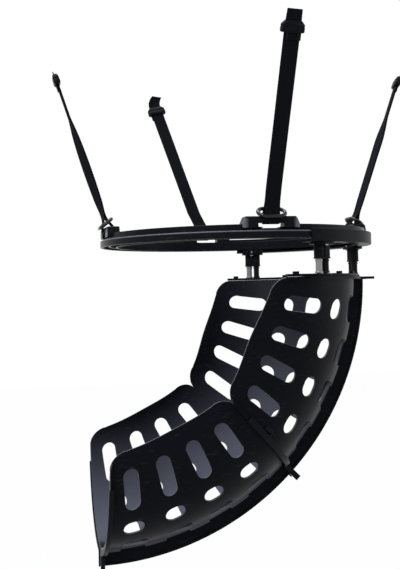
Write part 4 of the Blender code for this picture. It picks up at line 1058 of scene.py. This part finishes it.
class RETURN_OT_ring(bpy.types.Operator):
    """Turn the ring's rail, stand its wall on it and build the four lugs with their bars"""
    bl_idname = "ball_return.ring"
    bl_label = "Ring"

    def execute(self, context):
        rail = spun(RING_PROFILE, RING_STEPS, on_ring(0), closed=True)
        add_piece("ring_rail", rail, "hanger", "ring_plastic", ["ring"], PLAIN_EDGE)
        inner, outer = WALL_INNER + RING_WALL_INSET, WALL_OUTER - RING_WALL_INSET
        section = [(inner, RING_WALL_FOOT), (outer, RING_WALL_FOOT), (outer, WALL_TOP), (inner, WALL_TOP)]
        for name, angle in STRAP_ANGLES.items():
            start, end = (angle + turn for turn in RING_WALL_ARC)
            wall = swept(bmesh.new(), ring_sweep(section, start, end, RING_WALL_STEPS))
            add_piece(name + "_ring_wall", wall, "hanger", "ring_plastic", edge=STOUT_EDGE)
            add_piece(name + "_lug", self.lug(angle), "hanger", "ring_plastic", edge=STOUT_EDGE)
            bar = softened(rounded_outline(BAR_WIDTH, BAR_HEIGHT, BAR_CORNER), BAR_SOFT, 1)
            turned = on_ring(angle, BAR_PLACE, BAR_LEVEL) @ turned_by(90, "X")
            bar_bm = prism(bmesh.new(), bar, -BAR_HALF_LENGTH, BAR_HALF_LENGTH, turned)
            add_piece(name + "_bridge_bar", bar_bm, "hanger", "ring_plastic")
        return {"FINISHED"}

    @staticmethod
    def lug(angle):
        """Build the two legs of a lug, with a sloping top edge outside."""
        bm = bmesh.new()
        base, top = LUG_HALF
        turned = on_ring(angle)
        for side in (-1, 1):
            sections = []
            for radius, drop, foot in LUG_SECTIONS:
                slope = (base - top) / (LUG_TOP - WALL_TOP) * drop
                outline = [(base, foot), (base, WALL_TOP), (top + slope, LUG_TOP - drop)]
                outline += [(WINDOW[0][0], LUG_TOP - drop), *WINDOW[1:], (WINDOW[-1][0], foot)]
                outline = softened(outline, LUG_SOFT)
                sections.append([turned @ Vector((radius, side * along, height)) for along, height in outline])
            swept(bm, sections)
        return bm


class RETURN_OT_straps(bpy.types.Operator):
    """Loop the doubled webbing round the bars and twist it as it hangs"""
    bl_idname = "ball_return.straps"
    bl_label = "Straps"

    def execute(self, context):
        sizes = context.scene.return_sizes
        for name in STRAP_ANGLES:
            path = strap_path(name)
            turned = strap_frame(name)
            half = min(range(len(path)), key=lambda index: path[index].y)
            place = functools.partial(self.spot, name, turned, path, half)
            bm = ribbon(len(path), place)
            strap = add_piece(name + "_webbing", bm, None, "webbing", [name + "_strap"], edge=WEBBING_EDGE,
                              wall=sizes.webbing_thickness, wall_offset=0.0, sheet=True)
            bar = turned.translation
            bar - Vector((0, 0, 0.007))
            bar + Vector((0, 0, 0.004))
            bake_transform(strap)
        return {"FINISHED"}

    @staticmethod
    def spot(name, turned, path, half, row, across):
        """Place a spot of a strap's webbing; the rows before its lowest run on to the tail."""
        return turned @ strap_spot(name, path[row], across, row < half)


class RETURN_OT_oval_rings(bpy.types.Operator):
    """Bend the coated wire of the oval rings that cinch the straps"""
    bl_idname = "ball_return.oval_rings"
    bl_label = "Oval rings"

    def execute(self, context):
        sizes = context.scene.return_sizes
        wire = sizes.wire_radius
        reach = OVAL_HALF_WIDTH - wire
        outer_wire = BAR_WIDTH / 2 + LOOP_OFFSET + sizes.webbing_thickness / 2 + OVAL_SEAT + wire
        straight = OVAL_HALF_LENGTH - OVAL_HALF_WIDTH
        for name in STRAP_ANGLES:
            tilt = radians(OVAL_TILTS[name])
            low_side = Vector((cos(tilt), 0, -sin(tilt)))
            face = Vector((sin(tilt), 0, cos(tilt)))
            height = reach * sin(tilt) + OVAL_RISE - BAR_HEIGHT - wire
            centre = Vector((outer_wire - reach * cos(tilt), side_shift(name, height), height))
            turned = strap_frame(name)
            loops = []
            for step in range(OVAL_STEPS):
                turn = 2 * pi * (step + 0.5) / OVAL_STEPS
                out = Vector((0, cos(turn), 0)) + low_side * sin(turn)
                middle = centre + Vector((0, copysign(straight, cos(turn)), 0)) + out * reach
                loops.append([turned @ (middle + out * x + face * y)
                              for x, y in circle(wire, (0, 0), WIRE_SIDES)])
            add_piece(name + "_oval_wire", loft(bmesh.new(), loops), name + "_strap_body",
                      "oval_ring_metal", [name + "_oval_ring"], smooth_angle=70)
        return {"FINISHED"}


class RETURN_OT_buckles(bpy.types.Operator):
    """Mould the sliding buckles with their sloping shoulders, and sew the webbing's end to them"""
    bl_idname = "ball_return.buckles"
    bl_label = "Buckles"

    def execute(self, context):
        for name in STRAP_ANGLES:
            turned = buckle_frame(name)
            loops = [laid(turned, rounded_outline(depth, width, corner, 4), height)
                     for height, depth, width, corner in BUCKLE_OUTSIDE + BUCKLE_SLOT]
            add_piece(name + "_slide_buckle", loft(bmesh.new(), loops), name + "_buckle_body",
                      "buckle_plastic", [name + "_buckle"], smooth_angle=50)
            bm = ribbon(SEWN_ROWS, functools.partial(self.spot, turned))
            add_piece(name + "_sewn_end", bm, name + "_buckle_body", "webbing", edge=SHEET_EDGE,
                      wall=SEWN_THICKNESS, wall_offset=0.0, sheet=True, finish="sewn_webbing")
        return {"FINISHED"}

    @staticmethod
    def spot(turned, row, across):
        """Place a spot of the sewn end on the outside of the webbing."""
        return turned @ Vector((SEWN_OUT, across + SEWN_SHIFT, SEWN_TOP - SEWN_PITCH * row - SEWN_DROP))


class RETURN_OT_carriage(bpy.types.Operator):
    """Build the channel that runs round the rail, with its foot plates, sleeves, studs, pads and screws"""
    bl_idname = "ball_return.carriage"
    bl_label = "Carriage"

    def execute(self, context):
        sections = ring_sweep(CARRIAGE_PROFILE, -CARRIAGE_HALF_ANGLE, CARRIAGE_HALF_ANGLE, CARRIAGE_STEPS)
        add_piece("running_channel", swept(bmesh.new(), sections), "chute", "carriage_plastic", ["carriage_channel"],
                  SLIM_EDGE)
        for name, angle in STATIONS.items():
            turned = on_ring(angle, STATION_RADIUS)
            self.sleeve_block(name, turned)
            for along, end in zip(PAIR[::-1], ("left", "right")):
                pale = (name, end) in (("front", "right"), ("back", "left"))
                self.stud(name + "_stud_" + end, turned, along, "stud_pale" if pale else "stud_dark")
            for node in ("_carriage_screw_inner", "_carriage_screw_outer"):
                self.dress(name + node, "screw_steel")
            self.dress(name + "_glide_pad", "glide_plastic")
        return {"FINISHED"}

    @staticmethod
    def dress(node, slot):
        """Give a solid that keeps its shape its finish."""
        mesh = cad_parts[node].data
        mesh.materials.clear()
        mesh.materials.append(finish_for(slot))

    @staticmethod
    def sleeve_block(name, turned):
        """Build a foot plate and the twin sleeves under it, with a lip and open bores at their foot."""
        bm = bmesh.new()
        screws = [circle(SCREW_HOLE, (across, 0), 20) for across in (-SCREW_OFFSET, SCREW_OFFSET)]
        pierced(bm, rounded_outline(FOOT_WIDTH, FOOT_LENGTH, FOOT_CORNER), screws, FOOT_BOTTOM, FOOT_TOP, turned)
        bores = [circle(BORE, (0, along)) for along in PAIR]
        body = rounded_outline(SLEEVE, SLEEVE + STUD_SPACING, SLEEVE_CORNER)
        prism(bm, body, BORE_TOP, SLEEVE_TOP, turned)
        pierced(bm, body, bores, SLEEVE_BOTTOM, BORE_TOP, turned)
        lip = rounded_outline(SLEEVE + LIP_GROWTH, SLEEVE + STUD_SPACING + LIP_GROWTH, SLEEVE / 2)
        pierced(bm, lip, bores, LIP_LOW, LIP_HIGH, turned)
        rib = [(-RIB_WIDTH_HALF, -RIB_REACH), (RIB_WIDTH_HALF, -RIB_REACH), (RIB_WIDTH_HALF, 0.0),
               (-RIB_WIDTH_HALF, 0.0)]
        for angle in (90, 270):
            prism(bm, rib, RIB_LOW, RIB_HIGH, turned @ turned_by(angle))
        add_piece(name + "_twin_sleeve", bm, "chute", "sleeve_plastic", [name + "_sleeve_block"],
                  SLEEVE_EDGE)

    @staticmethod
    def stud(name, turned, along, slot):
        """Turn a stud and stand it in its sleeve."""
        bm = spun(STUD_PROFILE, STUD_STEPS, turned @ Matrix.Translation((0, along, 0)))
        add_piece(name + "_turned", bm, "chute", slot, [name], smooth_angle=35)


class RETURN_OT_collar(bpy.types.Operator):
    """Build the collar round the chute's mouth, with its three ears and its upright tabs"""
    bl_idname = "ball_return.collar"
    bl_label = "Collar"

    def execute(self, context):
        sections = []
        for step in range(-COLLAR_STEPS, COLLAR_STEPS + 1):
            side = -1 if step < 0 else 1
            here, normal = self.mouth(90 - abs(step) * COLLAR_SWEEP / COLLAR_STEPS)
            section = []
            for offset, height in ((0.0, COLLAR_BOTTOM), (FLANGE_REACH, COLLAR_BOTTOM), (FLANGE_REACH, COLLAR_TOP),
                                   (0.0, COLLAR_TOP)):
                spot = here + normal * offset
                section.append(Vector((spot.x + ARC_CENTRE, side * spot.y, RING_LEVEL + height)))
            sections.append(section)
        band = swept(bmesh.new(), sections)
        add_piece("collar_band", band, "chute", "carriage_plastic", ["chute_collar"], PLAIN_EDGE)
        for name, angle in STATIONS.items():
            side = EAR_HALF - SLEEVE_CORNER
            far = STATION_RADIUS + SLEEVE / 2 - SLEEVE_CORNER
            turns = [radians(turn) for turn in range(0, 91, 15)]
            outline = [(EAR_ROOTS[name], -EAR_HALF)]
            outline += [(far + SLEEVE_CORNER * sin(turn), -side - SLEEVE_CORNER * cos(turn))
                        for turn in turns]
            outline += [(x, -y) for x, y in reversed(outline)]
            holes = [circle(EAR_HOLE, (STATION_RADIUS, along)) for along in PAIR]
            ear = pierced(bmesh.new(), outline, holes, COLLAR_BOTTOM + EAR_INSET, COLLAR_TOP - EAR_INSET,
                          on_ring(angle))
            add_piece(name + "_collar_ear", ear, "chute", "carriage_plastic", edge=PLAIN_EDGE)
        tabs = bmesh.new()
        for turn in TAB_TURNS:
            for side in SIDES.values():
                here, normal = self.mouth(turn)
                middle = here + normal * FLANGE_REACH / 2
                turned = Matrix.Translation((middle.x + ARC_CENTRE, side * middle.y, RING_LEVEL))
                turned = turned @ turned_by(side * degrees(atan2(-normal.x, normal.y)))
                prism(tabs, softened(TAB_OUTLINE, TAB_SOFT), COLLAR_TOP - TAB_ROOT, COLLAR_TOP + TAB_RISE, turned)
        add_piece("collar_tabs", tabs, "chute", "carriage_plastic", edge=PLAIN_EDGE)
        return {"FINISHED"}

    @staticmethod
    def mouth(turn):
        """Give a point of the mouth's inner edge and the direction out of it, both as radius and width."""
        here = wall_spot(0.0, turn)
        heading = (wall_spot(0.0, turn + 1.0) - wall_spot(0.0, turn - 1.0)).normalized()
        return here, Vector((-heading.y, heading.x))


class RETURN_OT_panels(bpy.types.Operator):
    """Cut the four slotted panels from flat patterns, bend them to the chute's wall and add their flanges"""
    bl_idname = "ball_return.panels"
    bl_label = "Panels"

    def execute(self, context):
        for segment, start, end in SEGMENTS:
            for side_name, side in SIDES.items():
                name = segment + "_" + side_name
                sheet = self.sheet(start, end, side)
                add_piece(name + "_wall_sheet", sheet, "chute", "chute_plastic", [name + "_panel"],
                          SHEET_EDGE, wall=WALL, sheet=True, rim="chute_rim")
                for place, angle, way in (("first", start, 1), ("last", end, -1)):
                    sections = [self.flange(angle, way, along, side) for along in (FLANGE_START, FLANGE)]
                    add_piece(name + "_" + place + "_flange", swept(bmesh.new(), sections), "chute", "chute_plastic",
                              edge=SLIM_EDGE)
        return {"FINISHED"}

    @classmethod
    def sheet(cls, start, end, side):
        """Cut a flat pattern with its slots, rule it into strips and bend it to the wall."""
        bm = bmesh.new()
        cls.draw(bm, cls.border(start, end))
        holes = []
        for row in range(SLOT_ROWS):
            angle = start + FIRST_ROW + ROW_PITCH * row
            for slot in (LONG_SLOT, SHORT_SLOT, cls.window(angle)):
                holes.append(cls.draw(bm, cls.slot_border(angle, slot)))
        bmesh.ops.triangle_fill(bm, use_beauty=True, use_dissolve=False, edges=bm.edges[:])
        for hole in holes:
            filled = [face for face in bm.faces if hole.issuperset(face.verts)]
            bmesh.ops.delete(bm, geom=filled, context="FACES_ONLY")
        length = wall_length((start + end) / 2)
        bend = SKIRT_BEND * pi / 2
        shares = [step / WALL_STEPS for step in range(1, WALL_STEPS)]
        shares += [1 + bend * part / 3 / length for part in range(4)] + [1 + SKIRT_RULE / length]
        for share in shares:
            cls.rule(bm, (share * PATTERN_WIDE, 0, 0), (1, 0, 0))
        for angle in spaced(start, end, ARC_STEPS)[1:-1]:
            cls.rule(bm, (0, radians(angle) * PATTERN_TALL, 0), (0, 1, 0))
        bmesh.ops.remove_doubles(bm, verts=bm.verts, dist=SPOT_GAP)
        bmesh.ops.dissolve_degenerate(bm, dist=SLIVER_GAP, edges=bm.edges)
        for vert in bm.verts:
            angle = degrees(vert.co.y / PATTERN_TALL)
            spot = wall_place(angle, vert.co.x / PATTERN_WIDE * wall_length(angle))
            vert.co = arc_point(spot.x, spot.y, angle, side)
        bmesh.ops.recalc_face_normals(bm, faces=bm.faces)
        if sum(face.normal.y * side * face.calc_area() for face in bm.faces) < 0:
            bmesh.ops.reverse_faces(bm, faces=bm.faces)
        return bm

    @staticmethod
    def draw(bm, spots):
        """Draw a closed loop of angle and distance spots on the flat pattern."""
        return set(drawn(bm, [(distance / wall_length(angle) * PATTERN_WIDE, radians(angle) * PATTERN_TALL, 0)
                              for angle, distance in spots])[0])

    @staticmethod
    def rule(bm, place, normal):
        """Cut the flat pattern along a straight line, so that it can bend there."""
        bmesh.ops.bisect_plane(bm, geom=bm.verts[:] + bm.edges[:] + bm.faces[:], dist=RULE_GAP, plane_co=place,
                               plane_no=normal)

    @staticmethod
    def border(start, end):
        """Give a panel's outline, with two round corners and a castellated skirt."""
        corner = []
        for swing in spaced(0, pi / 2, CORNER_STEPS):
            distance = CORNER_RADIUS * (1 - sin(swing))
            radius = wall_place(start, distance).x
            corner.append((degrees(CORNER_RADIUS * (1 - cos(swing)) / radius), distance))
        spots = [(start, wall_length(start) + SKIRT_RUN)]
        spots += [(start + angle, distance) for angle, distance in corner]
        spots += [(end - angle, distance) for angle, distance in reversed(corner)]
        spots.append((end, wall_length(end) + SKIRT_RUN))
        half = degrees(WINDOW_WIDTH / 2 / (FLOOR_RADIUS + SKIRT_DEPTH))
        for row in reversed(range(SLOT_ROWS)):
            middle = start + FIRST_ROW + ROW_PITCH * row - degrees(WINDOW_SHIFT / FLOOR_RADIUS)
            for angle, depth in ((middle + half, 0), (middle + half * NOTCH_FOOT, NOTCH_DEPTH),
                                 (middle - half * NOTCH_FOOT, NOTCH_DEPTH), (middle - half, 0)):
                spots.append((angle, wall_length(angle) + SKIRT_RUN - depth))
        return spots

    @staticmethod
    def window(angle):
        """Give the sizes of a floor window, which ends near the skirt."""
        end = wall_length(angle) - WINDOW_MARGIN
        return (WINDOW_START + end) / 2, end - WINDOW_START, WINDOW_WIDTH, WINDOW_CORNER, WINDOW_SHIFT

    @staticmethod
    def slot_border(angle, slot):
        """Give a slot's outline."""
        distance, length, width, corner, shift = slot
        return [(angle + degrees((y - shift) / wall_place(angle, distance + x).x), distance + x)
                for x, y in rounded_outline(length, width, corner)]

    @staticmethod
    def flange(angle, way, along, side):
        """Give a flange's section at a length from the panel's end, drawn back at the round corner."""
        cut = CORNER_RADIUS - sqrt(CORNER_RADIUS ** 2 - (CORNER_RADIUS - along) ** 2)
        edge, half_width = wall_size(angle)
        first = degrees(cut / (FLOOR_RADIUS - edge))
        last = degrees(acos(FLAT / half_width))
        line = [wall_spot(angle, turn) for turn in spaced(first, last, FLANGE_STEPS)]
        inner = offset_line(line, WALL / 2)
        outer = offset_line(line, FLANGE_REACH)
        inner += [Vector((FLOOR_RADIUS + WALL / 2, SKIRT_FACE + WALL / 2)),
                  Vector((FLOOR_RADIUS + FLANGE_SKIRT, SKIRT_FACE + WALL / 2))]
        outer += [Vector((FLOOR_RADIUS + FLANGE_REACH, SKIRT_FACE + FLANGE_REACH)),
                  Vector((FLOOR_RADIUS + FLANGE_SKIRT, SKIRT_FACE + FLANGE_REACH))]
        return [arc_point(spot.x, spot.y, angle + way * degrees(along / spot.x), side)
                for spot in inner + outer[::-1]]


class RETURN_OT_keels(bpy.types.Operator):
    """Sweep the two lengths of the keel between the panels"""
    bl_idname = "ball_return.keels"
    bl_label = "Keels"

    def execute(self, context):
        for segment, start, end in SEGMENTS:
            sections = [[arc_point(radius, width, angle, 1) for radius, width in KEEL_OUTLINE]
                        for angle in spaced(start, end, KEEL_STEPS)]
            add_piece(segment + "_spine", swept(bmesh.new(), sections), "chute", "keel_plastic",
                      [segment + "_keel"], SLIM_EDGE)
        return {"FINISHED"}


class RETURN_OT_strips(bpy.types.Operator):
    """Sweep the strips that lock the flanges, with the latches that keep the joint strips in"""
    bl_idname = "ball_return.strips"
    bl_label = "Lock strips"

    def execute(self, context):
        for place in STRIPS:
            for side_name, side in SIDES.items():
                add_piece(place + "_channel_strip_" + side_name, self.strip(place, side), "chute", "strip_plastic",
                          [place + "_lock_strip_" + side_name], STRIP_EDGE)
        length, width, height = LATCH_SIZE
        angle = JOINT_ANGLE - degrees((FLANGE + LATCH_GAP + width) / FLOOR_RADIUS)
        for side_name, side in SIDES.items():
            turned = wall_frame(angle, LATCH_PLACE, side)
            sections = []
            for share, level in ((1.0, LATCH_FOOT), (1.0, LATCH_FOOT + LATCH_EDGE), (LATCH_TOP, LATCH_FOOT + height)):
                outline = rounded_outline(length * share, width * (share + 0.15 * (1 - share)), LATCH_CORNER, 3)
                sections.append(laid(turned, outline, level))
            add_piece("joint_wedge_" + side_name, swept(bmesh.new(), sections), "chute", "strip_plastic",
                      ["joint_latch_" + side_name], STRIP_EDGE)
        return {"FINISHED"}

    @staticmethod
    def strip(place, side):
        """Sweep one strip over the edges of the flanges and past the keel."""
        angle, reach, width, depth, leg, groove, shift = STRIPS[place]
        offset = FLANGE_REACH + STRIP_GAP
        edge, half_width = wall_size(angle)
        first = degrees(CORNER_RADIUS * STRIP_START / (FLOOR_RADIUS - edge))
        last = degrees(acos(FLAT / half_width))
        first += (last - first) / STRIP_SKIP
        line = [wall_spot(angle, turn) for turn in spaced(first, last, STRIP_STEPS)]
        path = offset_line(line, offset)
        path += [Vector((radius, SKIRT_FACE + offset)) for radius in (FLOOR_RADIUS + offset, KEEL_RADIUS + reach)]
        marks = [(-leg, -width / 2), (depth, -width / 2), (depth, width / 2), (-leg, width / 2)]
        if leg > 0:
            marks += [(-leg, groove / 2), (0, groove / 2), (0, -groove / 2), (-leg, -groove / 2)]
        turn = radians(angle)
        onward = Vector((-sin(turn), 0, -cos(turn)))
        sections = []
        for index, point in enumerate(path):
            arriving = (point - path[index - 1]).normalized() if index else (path[1] - point).normalized()
            leaving = (path[index + 1] - point).normalized() if index + 1 < len(path) else arriving
            heading = (arriving + leaving).normalized()
            out = Vector((-heading.y, heading.x)) / heading.dot(arriving)
            section = []
            for outward, ahead in marks:
                spot = point + out * outward
                section.append(arc_point(spot.x, spot.y, angle, side) + onward * (shift + ahead))
            sections.append(section)
        return swept(bmesh.new(), sections)


OPERATORS = (RETURN_OT_stage, RETURN_OT_ring, RETURN_OT_straps, RETURN_OT_oval_rings, RETURN_OT_buckles,
             RETURN_OT_carriage, RETURN_OT_collar, RETURN_OT_panels, RETURN_OT_keels, RETURN_OT_strips)


class RETURN_PT_panel(bpy.types.Panel):
    """Lists the steps that dress the ball return"""
    bl_idname = "RETURN_PT_panel"
    bl_label = "Ball Return"
    bl_space_type = "VIEW_3D"
    bl_region_type = "UI"
    bl_category = "Ball Return"

    def draw(self, context):
        for group in (context.scene.return_sizes, context.scene.return_tints, context.scene.return_stage):
            for key in group.__annotations__:
                self.layout.prop(group, key)
        for step in OPERATORS:
            self.layout.operator(step.bl_idname)


CLASSES = (RETURN_PG_sizes, RETURN_PG_tints, RETURN_PG_stage, *OPERATORS, RETURN_PT_panel)


def register():
    """Register the classes and hang their settings on the scene."""
    for item in CLASSES:
        bpy.utils.register_class(item)
    bpy.types.Scene.return_sizes = PointerProperty(type=RETURN_PG_sizes)
    bpy.types.Scene.return_tints = PointerProperty(type=RETURN_PG_tints)
    bpy.types.Scene.return_stage = PointerProperty(type=RETURN_PG_stage)


def unregister():
    """Take the settings and the classes away again."""
    del bpy.types.Scene.return_sizes
    del bpy.types.Scene.return_tints
    del bpy.types.Scene.return_stage
    for item in reversed(CLASSES):
        bpy.utils.unregister_class(item)


def main():
    """Register the classes and run every step that dresses the part."""
    register()
    for step in OPERATORS:
        category, action = step.bl_idname.split(".")
        getattr(getattr(bpy.ops, category), action)()


if __name__ == "__main__":
    main()
